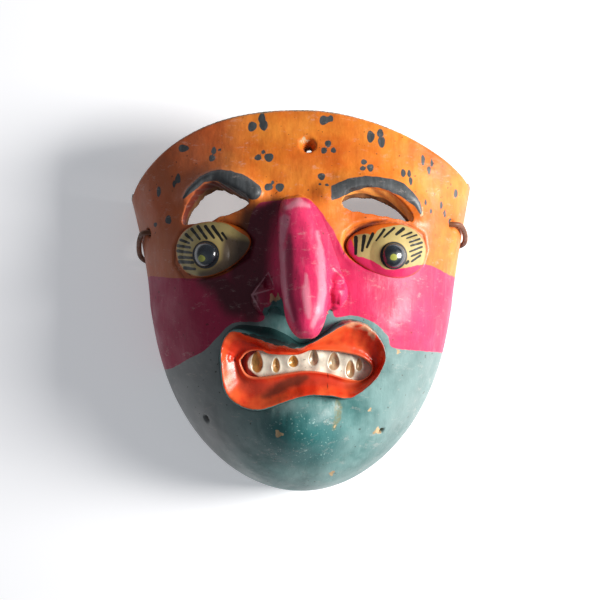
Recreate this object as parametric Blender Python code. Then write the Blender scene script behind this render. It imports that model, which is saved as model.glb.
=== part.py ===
"""A carved and painted dance mask: a hooked nose, domed eyes, flared lips and a row of bared teeth.

The mask lies on its back rim. +Z is out of the face, +Y is the crown and +X is the viewer's right.
The origin is the middle of the mask on the surface that it lies on.
The shell is one carved bowl, open at the crown, and the nose, eyes, pupils, lips and teeth are let
into shallow pockets in its front. A thong is tied through a hole at each temple.
"""

import math

import bmesh
import bpy
import numpy as np
from mathutils import Vector

MM = 0.001
GAP = 0.3 * MM  # the glue line, left between any two pieces that touch

# The bowl. Its rim closes round the chin and widens up to the temples.
CROWN_Y = 95 * MM
CHIN_Y = -95 * MM
TEMPLE_Y = {"left": 53 * MM, "right": 59 * MM}
HALF_WIDTH = 78 * MM  # at the belt, y = 0
TEMPLE_FLARE = 9.5 * MM
FLARE_POWER = {"left": 1.5, "right": 1.2}  # 1 would widen each temple steadily
JAW_TAPER = 0.158
JAW_POWER = 2.7
DEPTH = 66 * MM  # at the belt, without the nose
CROWN_FALL = 18 * MM  # how far the midline falls back from the belt to the crown
SECTION_POWER = 2.4  # 2 would make each cross-section an ellipse; more is squarer
CROWN_POWER = {"left": 2.25, "right": 1.9}
WALL = 6 * MM
FRONT_WALL = 8 * MM
RIM_LIFT = 7 * MM  # the side rim is hollowed by this much, where the thong passes under it
RIM_LIFT_FROM, RIM_LIFT_TO = 8 * MM, 46 * MM

# Relief of the front: (x, y, x radius, y radius, height) of each soft swelling or hollow.
SWELLINGS = [
    (-46 * MM, -6 * MM, 20 * MM, 16 * MM, 2.5 * MM),  # cheek
    (46 * MM, -6 * MM, 20 * MM, 16 * MM, 2.5 * MM),  # cheek
    (0, -28 * MM, 36 * MM, 22 * MM, 3.5 * MM),  # muzzle
    (0, 42 * MM, 9 * MM, 9 * MM, 1.5 * MM),  # between the brows
    (-40 * MM, 43 * MM, 18 * MM, 7 * MM, -2 * MM),  # hollow under the brow
    (38 * MM, 43 * MM, 18 * MM, 7 * MM, -2 * MM),  # hollow under the brow
]
CHIN_BALL = (-2 * MM, -59 * MM, 26 * MM, 20 * MM, 11 * MM)
BROW_HEIGHT = 3 * MM
BROWS = {  # (x, y, half width) along each ridge, from the nose outwards
    "left": [(-22.5, 54.6, 3.8), (-33.3, 58.8, 3.8), (-42.2, 60.7, 2.4), (-50, 57, 2.2), (-56, 46, 1.4)],
    "right": [(14.5, 54, 3.2), (22, 57, 3.0), (33, 58, 2.8), (44, 55, 3.0), (51, 50, 2.6), (56, 43, 1.6)],
}

# Openings in the shell.
SLOTS = {  # the outline of each eye slot on the front, in millimetres
    "left": [
        (-56, 40), (-54.5, 47), (-48, 54.5), (-39, 57.5), (-31, 54.5), (-24.5, 47), (-27, 43.5), (-40, 41),
    ],
    "right": [
        (18, 45.5), (23.5, 52.5), (32, 55.5), (41.5, 54.5), (49.5, 50.5), (54.5, 43), (46, 41.5),
        (28, 42.3),
    ],
}
SLOT_LEAN = (0.28, 0.42)  # how far a slot leans to the nose and to the chin for each unit inwards
HANG_HOLE = (4 * MM, 76 * MM, 2 * MM)  # x, y, radius
JAW_HOLES = [(-46 * MM, -55 * MM, 1.6 * MM), (38.8 * MM, -60.5 * MM, 1.3 * MM)]
TIE_HOLES = {"left": (36 * MM, 33 * MM), "right": (40 * MM, 35 * MM)}  # y, z
TIE_HOLE_RADIUS = 1.9 * MM

# The nose: a swept ridge on a flared foot, with a wing at each side.
NOSE_FOOT = [
    (0, 54), (9, 46), (15, 31), (20, 15), (22, 4), (14, -4), (0, -5.5), (-15, -4), (-22.5, 4),
    (-19, 17), (-14, 32), (-9, 46),
]
NOSE_FILLET = 0.8  # how much of the ridge's height the foot rises to, beneath it
NOSE_FILLET_WIDTH = 11 * MM
NOSE_LET_IN = 2 * MM
RIDGE = [  # x, y, z, half width and half height along the ridge, from the root to the tip
    (-2.4, 51.5, 61, 4.5, 3), (-2.6, 48.5, 63.5, 7, 5.5), (-2.2, 42, 66.5, 8.6, 7.5),
    (-0.8, 33, 70.5, 9.8, 8.6), (1, 22, 75.5, 10.8, 9.6), (1.8, 9, 80.5, 11, 10.4),
    (2, -1, 83.5, 10, 10.6), (1.9, -8.5, 84.6, 8.2, 9), (1.8, -12.6, 84, 5.8, 6.2),
    (1.8, -14.4, 83.3, 2.8, 3.2),
]
WINGS = [((-17, 3, 66), (6.5, 8, 7)), ((17.5, 4.5, 66), (6, 8, 7))]
NOSTRILS = [(-12.5 * MM, 1.5 * MM, 2.6 * MM), (15.5 * MM, 1.5 * MM, 2.2 * MM)]
NOSTRIL_LEAN = 0.35
PEG_RADIUS = 2.5 * MM
PEGS = {  # x, y, back, front
    "nose_peg_upper": (2 * MM, 36 * MM, 55 * MM, 70 * MM),
    "nose_peg_lower": (2 * MM, 12 * MM, 57 * MM, 78 * MM),
}

# The eyes: an egg-shaped dome in a pocket, with a round pupil let into it.
EYES = {  # x, y, half length, half height, turn in degrees, and the pupil's x, y
    "left": (-42, 27.5, 18.5, 12.8, 12, (-45, 24)),
    "right": (41, 26.5, 19.5, 12.8, -6, (43.7, 23.5)),
}
EYE_TAPER = 0.22  # how much narrower the end at the nose is
EYE_POCKET = 2.4 * MM
EYE_DOME = 5 * MM
EYE_EDGE = -0.3 * MM  # the eye's edge, from the shell's surface
PUPIL_RADIUS = 5.9 * MM
PUPIL_HEIGHT = 4 * MM
PUPIL_LET_IN = 1.4 * MM

# The mouth: pairs of points (outer x, y, inner x, y) around the lips, clockwise from the left corner.
LIPS = [
    (-38.3, -26, -26.6, -26.5), (-36, -13.5, -24.6, -22.6), (-25, -8, -19.5, -21.2),
    (-11, -9.3, -10.8, -22.3),
    (0.8, -18.4, -1, -22.9), (7, -15.2, 5, -20.8), (16, -8, 11.5, -19.8), (27, -6.3, 21, -22.3),
    (37, -13, 31, -24.8), (40, -23.5, 35.1, -28.6), (34.5, -34, 30.8, -33.4), (21, -42.8, 18, -31.4),
    (4, -42, 1, -29.3), (-15, -48.6, -14, -32.2), (-31.5, -43, -22.6, -32),
]
LIP_LET_IN = 1.2 * MM
LIP_CREST = 9 * MM
LIP_INNER = 1.2 * MM
TEETH_FROM, TEETH_TO = -29 * MM, 37 * MM
TEETH_LET_IN = 4.6 * MM
TEETH_FRONT = -1.9 * MM  # the front of the teeth, from the bowl's own surface
TEETH_HIDDEN = 1.6 * MM  # how far the strip reaches under the lips
TOOTH_GAPS = [-21, -11.7, -3.5, 5.9, 15.3, 23.4, 29.5]  # x of each gouged hollow between two teeth
TOOTH_GAP_WIDTH = 2.6 * MM
TOOTH_GAP_DEPTH = 1.4 * MM

# The thong: knotted inside each temple, out through its hole, down round the rim and across the hollow.
THONG_RADIUS = 1.3 * MM
KNOT_RADIUS = 3 * MM
KNOTS = {"left": (-62.6, 36, 32.6), "right": (60, 40, 33.5)}
THONG = [  # x, y, z of the thong's route from the left knot to the right one
    (-66.2, 36, 33), (-71.2, 36, 33), (-75.8, 36, 33), (-77.8, 35.9, 32.5), (-79.2, 35.5, 31),
    (-80.1, 34.6, 28.2), (-81.6, 32.1, 22.8), (-82.7, 28.8, 15.8), (-83.1, 26.1, 9.8), (-82.3, 24, 5),
    (-80, 22.5, 2.2), (-76.7, 21.2, 1.4), (-74, 19.4, 1.32), (-69.8, 15.5, 1.32), (-66.8, 8, 1.32),
    (-65.5, -4, 1.32), (-63, -18, 1.32), (-57, -33, 1.32), (-47, -48, 1.32), (-33, -60, 1.32),
    (-15, -67, 1.32), (4, -67.5, 1.32), (22, -62, 1.32), (37, -51, 1.32), (48, -37, 1.32),
    (55, -21, 1.32), (59, -5, 1.32), (61.5, 9, 1.32), (65.5, 20, 1.32), (71, 26.4, 1.32),
    (75.4, 28.8, 1.32), (79.1, 29.8, 1.5), (82.2, 30.5, 2.9), (84.2, 31.6, 6.2), (84.4, 33.2, 11.2),
    (83.4, 35.6, 18.4), (81.4, 38, 26), (79.9, 39.2, 30.6), (78.8, 39.7, 33), (77.4, 39.9, 34.4),
    (75.2, 40, 35), (70.5, 40, 35), (64.2, 40, 34.4),
]
THONG_POINTS = 80

# How finely the pieces are divided.
OUTER_COLUMNS, OUTER_ROWS = 64, 46
INNER_COLUMNS, INNER_ROWS = 28, 20
ROUND_SIDES = 20


def spline(points, count, closed=True):
    """count points on a smooth curve through points, which are rows of numbers."""
    points = np.asarray(points, float)
    last = len(points) if closed else len(points) - 1
    at = np.linspace(0, last, count, endpoint=not closed)
    first = np.minimum(at.astype(int), last - 1)
    part = (at - first)[:, None]
    if closed:
        p0, p1, p2, p3 = (points[(first + shift) % len(points)] for shift in (-1, 0, 1, 2))
    else:
        p0, p1, p2, p3 = (points[np.clip(first + shift, 0, last)] for shift in (-1, 0, 1, 2))
    linear = p2 - p0
    square = 2 * p0 - 5 * p1 + 4 * p2 - p3
    cube = 3 * p1 - p0 - 3 * p2 + p3
    return p1 + 0.5 * part * (linear + part * (square + part * cube))


def smooth_step(value):
    value = np.clip(value, 0, 1)
    return value * value * (3 - 2 * value)


def half_width(x, y, inset=0.0):
    """Half the bowl's width at y, on x's side. inset is WALL for the hollow's own surface."""
    below = np.clip(y / (CHIN_Y + inset), 0, 1)
    temple = np.where(x < 0, TEMPLE_Y["left"], TEMPLE_Y["right"])
    power = np.where(x < 0, FLARE_POWER["left"], FLARE_POWER["right"])
    flare = TEMPLE_FLARE * np.clip(y / temple, 0, None) ** power
    widest = HALF_WIDTH - inset + np.where(y < 0, JAW_TAPER * y, flare)
    return widest * np.sqrt(1 - below**JAW_POWER)


def midline(y, inset=0.0):
    """Height of the bowl's midline at y."""
    below = np.clip(y / (CHIN_Y + inset), 0, 1)
    fall = CROWN_FALL * np.clip(y / CROWN_Y, 0, 1) ** 2
    return (DEPTH - inset * FRONT_WALL / WALL) * np.cbrt(1 - below**3) - fall


def base_height(x, y):
    """Height of the bare bowl's front over a point of the plan."""
    across = np.clip(np.abs(x) / half_width(x, y), 0, 1)
    return midline(y) * (1 - across**SECTION_POWER) ** (1 / SECTION_POWER)


def path_nearness(x, y, path):
    """1 on a path of (x, y, half width) in millimetres, falling to 0 beyond its edge."""
    nearest = np.zeros(np.shape(x))
    for (ax, ay, a_width), (bx, by, b_width) in zip(path, path[1:]):
        start, along = np.array([ax, ay]) * MM, np.array([bx - ax, by - ay]) * MM
        part = ((x - start[0]) * along[0] + (y - start[1]) * along[1]) / (along @ along)
        part = np.clip(part, 0, 1)
        away = np.hypot(x - start[0] - part * along[0], y - start[1] - part * along[1])
        width = (a_width + part * (b_width - a_width)) * MM
        nearest = np.maximum(nearest, 1 - away / (2.6 * width))
    return nearest


def relief(x, y):
    """What the carver left standing on the bowl, or hollowed out of it."""
    height = np.zeros(np.shape(x))
    for centre_x, centre_y, radius_x, radius_y, rise in SWELLINGS:
        away = ((x - centre_x) / radius_x) ** 2 + ((y - centre_y) / radius_y) ** 2
        height = height + rise * np.exp(-away)
    centre_x, centre_y, radius_x, radius_y, rise = CHIN_BALL
    away = ((x - centre_x) / radius_x) ** 2 + ((y - centre_y) / radius_y) ** 2
    height = height + rise * np.clip(1 - away, 0, 1) ** 1.5
    for path in BROWS.values():
        height = height + BROW_HEIGHT * smooth_step(path_nearness(x, y, path))
    return height


def front(x, y):
    """Height of the carved front over a point of the plan."""
    x, y = np.asarray(x, float), np.asarray(y, float)
    return base_height(x, y) + relief(x, y)


def normal_at(x, y):
    step = 2 * MM
    slope_x = (base_height(x + step, y) - base_height(x - step, y)) / (2 * step)
    slope_y = (base_height(x, y + step) - base_height(x, y - step)) / (2 * step)
    return Vector((-slope_x, -slope_y, 1)).normalized()


def even_angles(columns):
    """Angles across a section, from the left rim to the right one, that divide it evenly."""
    angle = np.linspace(0, math.pi / 2, 200)
    power = 2 / SECTION_POWER
    x, z = np.sin(angle) ** power, 0.8 * np.cos(angle) ** power
    length = np.concatenate([[0], np.cumsum(np.hypot(np.diff(x), np.diff(z)))])
    across = np.linspace(-1, 1, columns + 1)
    return np.sign(across) * np.interp(np.abs(across) * length[-1], length, angle)


def crown_edge(angle):
    """y of the crown's edge on the section angle of each column."""
    temple = np.where(angle < 0, TEMPLE_Y["left"], TEMPLE_Y["right"])
    power = np.where(angle < 0, CROWN_POWER["left"], CROWN_POWER["right"])
    across = np.abs(np.sin(angle)) ** (2 / SECTION_POWER)
    middle = (TEMPLE_Y["left"] + TEMPLE_Y["right"]) / 2
    temple = middle + (temple - middle) * smooth_step(across)
    return temple + (CROWN_Y - temple) * (1 - across**power)


def bowl_grid(columns, rows, inset=0.0):
    """Points of the bowl's front, or of its hollow, as rows from the chin to the crown."""
    chin = CHIN_Y + inset
    along = np.linspace(chin, CROWN_Y, 400)
    length = np.concatenate([[0], np.cumsum(np.hypot(np.diff(along), np.diff(midline(along, inset))))])
    even = np.interp(np.linspace(0, length[-1], rows + 1), length, along)
    share = (even - chin) / (CROWN_Y - chin)
    angle = even_angles(columns)[None, :]
    y = chin + share[:, None] * (crown_edge(angle) - chin)
    depth = np.maximum(midline(y, inset), 1e-9)
    span = np.clip((y - RIM_LIFT_FROM) / (RIM_LIFT_TO - RIM_LIFT_FROM), 0, 1)
    lift = RIM_LIFT * np.sin(math.pi * span) ** 2
    widest = np.arccos(np.clip(lift / depth, 0, 1) ** (SECTION_POWER / 2))
    angle = angle * widest / (math.pi / 2)
    x = np.sign(angle) * half_width(angle, y, inset) * np.abs(np.sin(angle)) ** (2 / SECTION_POWER)
    z = depth * np.abs(np.cos(angle)) ** (2 / SECTION_POWER)
    z[np.abs(z) < 1e-7] = 0
    if not inset:
        z = z + relief(x, y) * smooth_step(z / (20 * MM))
    return np.stack([x, y, z], axis=2)


def material(name, colour, roughness=0.5, metallic=0.0):
    made = bpy.data.materials.new(name)
    made.use_nodes = True
    shader = made.node_tree.nodes["Principled BSDF"]
    shader.inputs["Base Color"].default_value = (*colour, 1)
    shader.inputs["Roughness"].default_value = roughness
    shader.inputs["Metallic"].default_value = metallic
    made.diffuse_color = (*colour, 1)
    return made


def add_object(name, points, faces, finish=None):
    """One closed mesh, with its faces turned outwards. Without a finish it is a cutter."""
    mesh = bpy.data.meshes.new(name)
    mesh.from_pydata([tuple(float(value) for value in point) for point in points], [], faces)
    shape = bmesh.new()
    shape.from_mesh(mesh)
    bmesh.ops.recalc_face_normals(shape, faces=shape.faces)
    shape.to_mesh(mesh)
    shape.free()
    made = bpy.data.objects.new(name, mesh)
    bpy.context.scene.collection.objects.link(made)
    if finish is None:
        made.hide_render = True
        made.display_type = "WIRE"
    else:
        mesh.materials.append(finish)
        mesh.shade_smooth()
        mesh.set_sharp_from_angle(angle=math.radians(40))
    return made


def combine(target, operation, tool):
    """A Boolean modifier on target. A union's second shape becomes a helper."""
    change = target.modifiers.new(tool.name, "BOOLEAN")
    change.operation = operation
    change.object = tool
    change.solver = "EXACT"
    tool.hide_render = True
    tool.display_type = "WIRE"


def stitch(faces, first, second):
    """Triangles between two rows of vertex numbers, side by side, that may differ in length."""
    i = j = 0
    while i < len(first) - 1 or j < len(second) - 1:
        first_share = (i + 1) / (len(first) - 1) if i < len(first) - 1 else 2
        second_share = (j + 1) / (len(second) - 1) if j < len(second) - 1 else 2
        if first_share <= second_share:
            faces.append((first[i], first[i + 1], second[j]))
            i += 1
        else:
            faces.append((first[i], second[j + 1], second[j]))
            j += 1


def sheet_faces(faces, rows, columns, start):
    """Faces of a grid whose first row is one point, numbered start. Returns its vertex numbers."""
    number = [[start] * (columns + 1)]
    for row in range(rows):
        first = start + 1 + row * (columns + 1)
        number.append(list(range(first, first + columns + 1)))
    for column in range(columns):
        faces.append((start, number[1][column], number[1][column + 1]))
    for row in range(1, rows):
        for column in range(columns):
            here, above = number[row], number[row + 1]
            faces.append((here[column], here[column + 1], above[column + 1], above[column]))
    return number


def add_bowl(finish):
    """The shell before its openings: a front and a hollow, joined round the rim."""
    faces = []
    outer = bowl_grid(OUTER_COLUMNS, OUTER_ROWS)
    inner = bowl_grid(INNER_COLUMNS, INNER_ROWS, WALL)
    outer_points = [outer[0, 0], *outer[1:].reshape(-1, 3)]
    inner_points = [inner[0, 0], *inner[1:].reshape(-1, 3)]
    outside = sheet_faces(faces, OUTER_ROWS, OUTER_COLUMNS, 0)
    inside = sheet_faces(faces, INNER_ROWS, INNER_COLUMNS, len(outer_points))
    for side in (0, -1):
        stitch(faces, [row[side] for row in outside], [row[side] for row in inside])
    stitch(faces, outside[-1], inside[-1])
    return add_object("face_shell", outer_points + inner_points, faces, finish)


def add_pillow(name, rings, top, bottom, finish=None):
    """A solid between two heights. rings holds closed outlines from the middle's small one outwards."""
    points, faces = [], []
    count = len(rings[0])
    for height in (top, bottom):
        for ring in rings:
            points += [(x, y, z) for (x, y), z in zip(ring, height(ring[:, 0], ring[:, 1]))]
    layer = len(rings) * count
    for start in (0, layer):
        faces.append(tuple(range(start, start + count)))
        for ring in range(len(rings) - 1):
            faces += ring_faces(start + ring * count, start + (ring + 1) * count, count)
    edge = layer - count
    faces += ring_faces(edge, layer + edge, count)
    return add_object(name, points, faces, finish)


def ring_faces(first, second, count):
    """Faces between two closed rows of count vertices."""
    found = []
    for index in range(count):
        after = (index + 1) % count
        found.append((first + index, first + after, second + after, second + index))
    return found


def rings_in(outline, centre, count, smallest=0.12):
    """Copies of an outline, shrunk towards centre, the smallest first."""
    shares = np.sin(np.linspace(smallest, 1, count) * math.pi / 2)
    return [centre + share * (outline - centre) for share in shares]


def grow(outline, by):
    """A closed outline moved outwards by a distance."""
    along = np.roll(outline, -1, axis=0) - np.roll(outline, 1, axis=0)
    outwards = np.stack([along[:, 1], -along[:, 0]], axis=1)
    outwards /= np.linalg.norm(outwards, axis=1)[:, None]
    area = np.sum(outline[:, 0] * np.roll(outline[:, 1], -1) - outline[:, 1] * np.roll(outline[:, 0], -1))
    return outline + outwards * by * (1 if area > 0 else -1)


def level(height):
    """A height that is the same everywhere, for add_pillow."""
    return lambda x, y: np.full(np.shape(x), height)


def add_tube(name, path, finish):
    """A cord along a path in metres."""
    curve = bpy.data.curves.new(name, "CURVE")
    curve.dimensions = "3D"
    curve.bevel_depth = THONG_RADIUS
    curve.bevel_resolution = 2
    curve.use_fill_caps = True
    line = curve.splines.new("POLY")
    line.points.add(len(path) - 1)
    for point, place in zip(line.points, path):
        point.co = (*place, 1)
    curve.materials.append(finish)
    made = bpy.data.objects.new(name, curve)
    bpy.context.scene.collection.objects.link(made)
    return made


def add_rod(name, start, end, radius, finish=None, end_radius=None):
    """A round rod, or a cone, between two points."""
    start, end = Vector(start), Vector(end)
    shape = bmesh.new()
    bmesh.ops.create_cone(
        shape, cap_ends=True, segments=ROUND_SIDES, radius1=radius,
        radius2=radius if end_radius is None else end_radius, depth=(end - start).length,
    )
    turn = Vector((0, 0, 1)).rotation_difference(end - start)
    points = [turn @ vert.co + (start + end) / 2 for vert in shape.verts]
    faces = [tuple(vert.index for vert in face.verts) for face in shape.faces]
    shape.free()
    return add_object(name, points, faces, finish)


def add_ball(name, centre, radii, finish=None):
    shape = bmesh.new()
    bmesh.ops.create_uvsphere(shape, u_segments=16, v_segments=10, radius=1)
    points = [[c + r * v for c, r, v in zip(centre, radii, vert.co)] for vert in shape.verts]
    faces = [tuple(vert.index for vert in face.verts) for face in shape.faces]
    shape.free()
    return add_object(name, points, faces, finish)


def cut_slots(shell):
    """The two openings that the wearer looks through, leaning with the wall."""
    for side, outline in SLOTS.items():
        outline = spline(np.array(outline) * MM, 24)
        middle = outline.mean(axis=0)
        height = float(front(*middle))
        toward_nose = -math.copysign(SLOT_LEAN[0], middle[0])
        points, faces = [], [tuple(range(24)), tuple(range(24, 48))]
        for rise in (16 * MM, -26 * MM):
            lean = np.array([-rise * toward_nose, rise * SLOT_LEAN[1]])
            points += [(x, y, height + rise) for x, y in outline + lean]
        faces += ring_faces(0, 24, 24)
        combine(shell, "DIFFERENCE", add_object(side + "_slot_cutter", points, faces))


def cut_small_holes(shell):
    """The hanging hole in the forehead, a hole in each jaw, and the thong's hole at each temple."""
    for index, (x, y, radius) in enumerate([HANG_HOLE, *JAW_HOLES]):
        way = normal_at(x, y)
        place = Vector((x, y, float(front(x, y))))
        cutter = add_rod(f"hole_cutter_{index}", place + way * 9 * MM, place - way * 22 * MM, radius)
        combine(shell, "DIFFERENCE", cutter)
    for side, (y, z) in TIE_HOLES.items():
        way = -1 if side == "left" else 1
        start, end = (way * 55 * MM, y, z), (way * 98 * MM, y, z)
        combine(shell, "DIFFERENCE", add_rod(side + "_tie_cutter", start, end, TIE_HOLE_RADIUS))


def add_ridge(name, grown, finish=None):
    """The swept ridge of the nose, made larger all round by grown."""
    ridge = spline(np.array(RIDGE) * MM, 22, closed=False)
    ridge[0, 1] += grown
    ridge[-1, 1] -= grown
    points, faces = [], []
    for x, y, z, wide, high in ridge:
        for turn in np.linspace(0, 2 * math.pi, 18, endpoint=False):
            points.append((x + (wide + grown) * math.cos(turn), y, z + (high + grown) * math.sin(turn)))
    for index in range(len(ridge) - 1):
        faces += ring_faces(index * 18, (index + 1) * 18, 18)
    faces += [tuple(range(18)), tuple(range(len(points) - 18, len(points)))]
    return add_object(name, points, faces, finish)


def add_nose(shell, wood, paint):
    """The nose, its pocket in the shell, its two pegs and the nostrils."""
    foot = spline(np.array(NOSE_FOOT) * MM, 36)
    centre = foot.mean(axis=0)
    back = lambda x, y: base_height(x, y) - NOSE_LET_IN
    pocket = add_pillow(
        "nose_pocket_cutter", rings_in(grow(foot, GAP), centre, 6), level(100 * MM),
        lambda x, y: back(x, y) - GAP,
    )
    combine(shell, "DIFFERENCE", pocket)

    ridge = np.array(RIDGE)[::-1] * MM

    def foot_top(x, y):
        base = front(x, y)
        middle = np.interp(y, ridge[:, 1], ridge[:, 0])
        top = np.interp(y, ridge[:, 1], ridge[:, 2])
        width = np.interp(y, ridge[:, 1], ridge[:, 3])
        rise = NOSE_FILLET * np.clip(top + 0.8 * width - base, 0, None)
        across = (x - middle) / (NOSE_FILLET_WIDTH * width / width.max())
        return base + 0.6 * MM + rise * np.exp(-across**2)

    nose = add_pillow("nose", rings_in(foot, centre, 10), foot_top, back, paint)
    combine(nose, "UNION", add_ridge("nose_ridge", 0, paint))
    combine(shell, "DIFFERENCE", add_ridge("nose_ridge_cutter", GAP))
    for index, (wing, radii) in enumerate(WINGS):
        wing, radii = np.array(wing) * MM, np.array(radii) * MM
        combine(nose, "UNION", add_ball(f"nose_wing_{index}", wing, radii, paint))
        combine(shell, "DIFFERENCE", add_ball(f"nose_wing_cutter_{index}", wing, radii + GAP))
    for index, (x, y, radius) in enumerate(NOSTRILS):
        start = (x, y - 30 * MM * NOSTRIL_LEAN, 92 * MM)
        end = (x, y + 12 * MM * NOSTRIL_LEAN, 50 * MM)
        cutter = add_rod(f"nostril_cutter_{index}", end, start, radius, end_radius=radius)
        combine(nose, "DIFFERENCE", cutter)
        combine(shell, "DIFFERENCE", cutter)
    under = add_pillow(
        "nose_back_cutter", rings_in(grow(foot, 12 * MM), centre, 6), back, level(40 * MM)
    )
    combine(nose, "DIFFERENCE", under)
    for name, (x, y, start, end) in PEGS.items():
        add_rod(name, (x, y, start), (x, y, end), PEG_RADIUS, wood)
        hole = add_rod(name + "_hole", (x, y, start - 5 * MM), (x, y, end + GAP), PEG_RADIUS + GAP)
        combine(shell, "DIFFERENCE", hole)
        combine(nose, "DIFFERENCE", hole)
    return nose


def add_eye(shell, side, cream, black):
    """An eye, its pocket, and the round pupil that is let into its dome."""
    middle_x, middle_y, half_length, half_height, turn, pupil_at = EYES[side]
    centre = np.array([middle_x, middle_y]) * MM
    turn = math.radians(turn)
    angle = np.linspace(0, 2 * math.pi, 32, endpoint=False)
    narrow = 1 + math.copysign(EYE_TAPER, middle_x) * np.cos(angle)
    u, v = half_length * np.cos(angle) * MM, half_height * np.sin(angle) * narrow * MM
    outline = centre + np.stack(
        [u * math.cos(turn) - v * math.sin(turn), u * math.sin(turn) + v * math.cos(turn)], axis=1
    )

    def dome(x, y):
        u = ((x - centre[0]) * math.cos(turn) + (y - centre[1]) * math.sin(turn)) / (half_length * MM)
        v = ((y - centre[1]) * math.cos(turn) - (x - centre[0]) * math.sin(turn)) / (half_height * MM)
        v = v / (1 + math.copysign(EYE_TAPER, middle_x) * np.clip(u, -1, 1))
        rise = np.sqrt(np.clip(1 - u**2 - v**2, 0, 1))
        return front(x, y) + EYE_EDGE + (EYE_DOME - EYE_EDGE) * rise

    back = lambda x, y: base_height(x, y) - EYE_POCKET
    eye = add_pillow(side + "_eye", rings_in(outline, centre, 8), dome, back, cream)
    pocket = add_pillow(
        side + "_eye_pocket_cutter", rings_in(grow(outline, GAP), centre, 8), level(100 * MM),
        lambda x, y: back(x, y) - GAP,
    )
    combine(shell, "DIFFERENCE", pocket)
    add_pupil(eye, side, np.array(pupil_at) * MM, dome, black)


def add_pupil(eye, side, centre, dome, black):
    """A low round stud, built upright and then turned onto the eye's dome, and its seat."""
    angle = np.linspace(0, 2 * math.pi, ROUND_SIDES, endpoint=False)
    circle = np.stack([np.cos(angle), np.sin(angle)], axis=1)

    def stud_top(u, v):
        reach = (u**2 + v**2) / PUPIL_RADIUS**2
        return -PUPIL_LET_IN + 1 * MM + PUPIL_HEIGHT * np.sqrt(np.clip(1 - reach, 0, 1))

    rings = rings_in(circle * PUPIL_RADIUS, np.zeros(2), 6)
    pupil = add_pillow(side + "_pupil", rings, stud_top, level(-PUPIL_LET_IN), black)
    rings = rings_in(circle * (PUPIL_RADIUS + GAP), np.zeros(2), 2)
    seat = add_pillow(side + "_pupil_seat", rings, level(12 * MM), level(-PUPIL_LET_IN - GAP))
    combine(eye, "DIFFERENCE", seat)
    step = 3 * MM
    slope = []
    for shift in np.eye(2) * step:
        slope.append(float(dome(*(centre + shift)) - dome(*(centre - shift))) / (2 * step))
    way = Vector((-slope[0], -slope[1], 1)).normalized()
    for piece in (pupil, seat):
        piece.location = (*centre, float(dome(*centre)))
        piece.rotation_mode = "QUATERNION"
        piece.rotation_quaternion = Vector((0, 0, 1)).rotation_difference(way)


def add_lips(shell, red):
    """The flared ring of the lips, and the pocket that it is let into."""
    pairs = spline(np.array(LIPS) * MM, 60)
    outer, inner = pairs[:, :2], pairs[:, 2:]
    # Share of the way from the inner edge to the outer one, and the height over the shell's front.
    section = [
        (0, -LIP_LET_IN), (0, LIP_INNER - 0.8 * MM), (0.07, LIP_INNER), (0.4, 0.36 * LIP_CREST),
        (0.78, 0.84 * LIP_CREST), (0.92, LIP_CREST), (1, 0.88 * LIP_CREST), (1, -LIP_LET_IN),
    ]
    points, faces = [], []
    for share, rise in section:
        ring = inner + share * (outer - inner)
        points += [(x, y, z + rise) for (x, y), z in zip(ring, base_height(ring[:, 0], ring[:, 1]))]
    count = len(pairs)
    for index in range(len(section)):
        faces += ring_faces(index * count, (index + 1) % len(section) * count, count)
    add_object("lips", points, faces, red)
    cutter_points, cutter_faces = [], []
    for ring, rise in ((inner, 40 * MM), (grow(outer, GAP), 40 * MM)):
        cutter_points += [(x, y, base_height(x, y) + rise) for x, y in ring]
    for ring in (grow(outer, GAP), inner):
        cutter_points += [(x, y, base_height(x, y) - LIP_LET_IN - GAP) for x, y in ring]
    for index in range(4):
        cutter_faces += ring_faces(index * count, (index + 1) % 4 * count, count)
    combine(shell, "DIFFERENCE", add_object("lip_pocket_cutter", cutter_points, cutter_faces))


def mouth_band(columns, margin):
    """Lower and upper y of the mouth's opening over even steps of x, made larger by margin."""
    inner = spline(np.array(LIPS) * MM, 200)[:, 2:]
    left, right = np.argmin(inner[:, 0]), np.argmax(inner[:, 0])
    upper = np.roll(inner, -left, axis=0)[: (right - left) % len(inner) + 1]
    lower = np.roll(inner, -right, axis=0)[: (left - right) % len(inner) + 1][::-1]
    x = np.linspace(TEETH_FROM - margin, TEETH_TO + margin, columns + 1)
    low, high = np.interp(x, lower[:, 0], lower[:, 1]), np.interp(x, upper[:, 0], upper[:, 1])
    return x, low - margin, high + margin


def tooth_relief(x, share):
    """Depth of the gouged hollows between the teeth. share runs from 0 at the gum below to 1 above."""
    depth = np.zeros(np.shape(x))
    for gap in TOOTH_GAPS:
        across = (x - gap * MM) / (TOOTH_GAP_WIDTH * (1.15 - 0.5 * share))
        along = (share - 0.5) / 0.42
        depth = np.maximum(depth, TOOTH_GAP_DEPTH * np.sqrt(np.clip(1 - across**2 - along**2, 0, 1)))
    return depth


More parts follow.
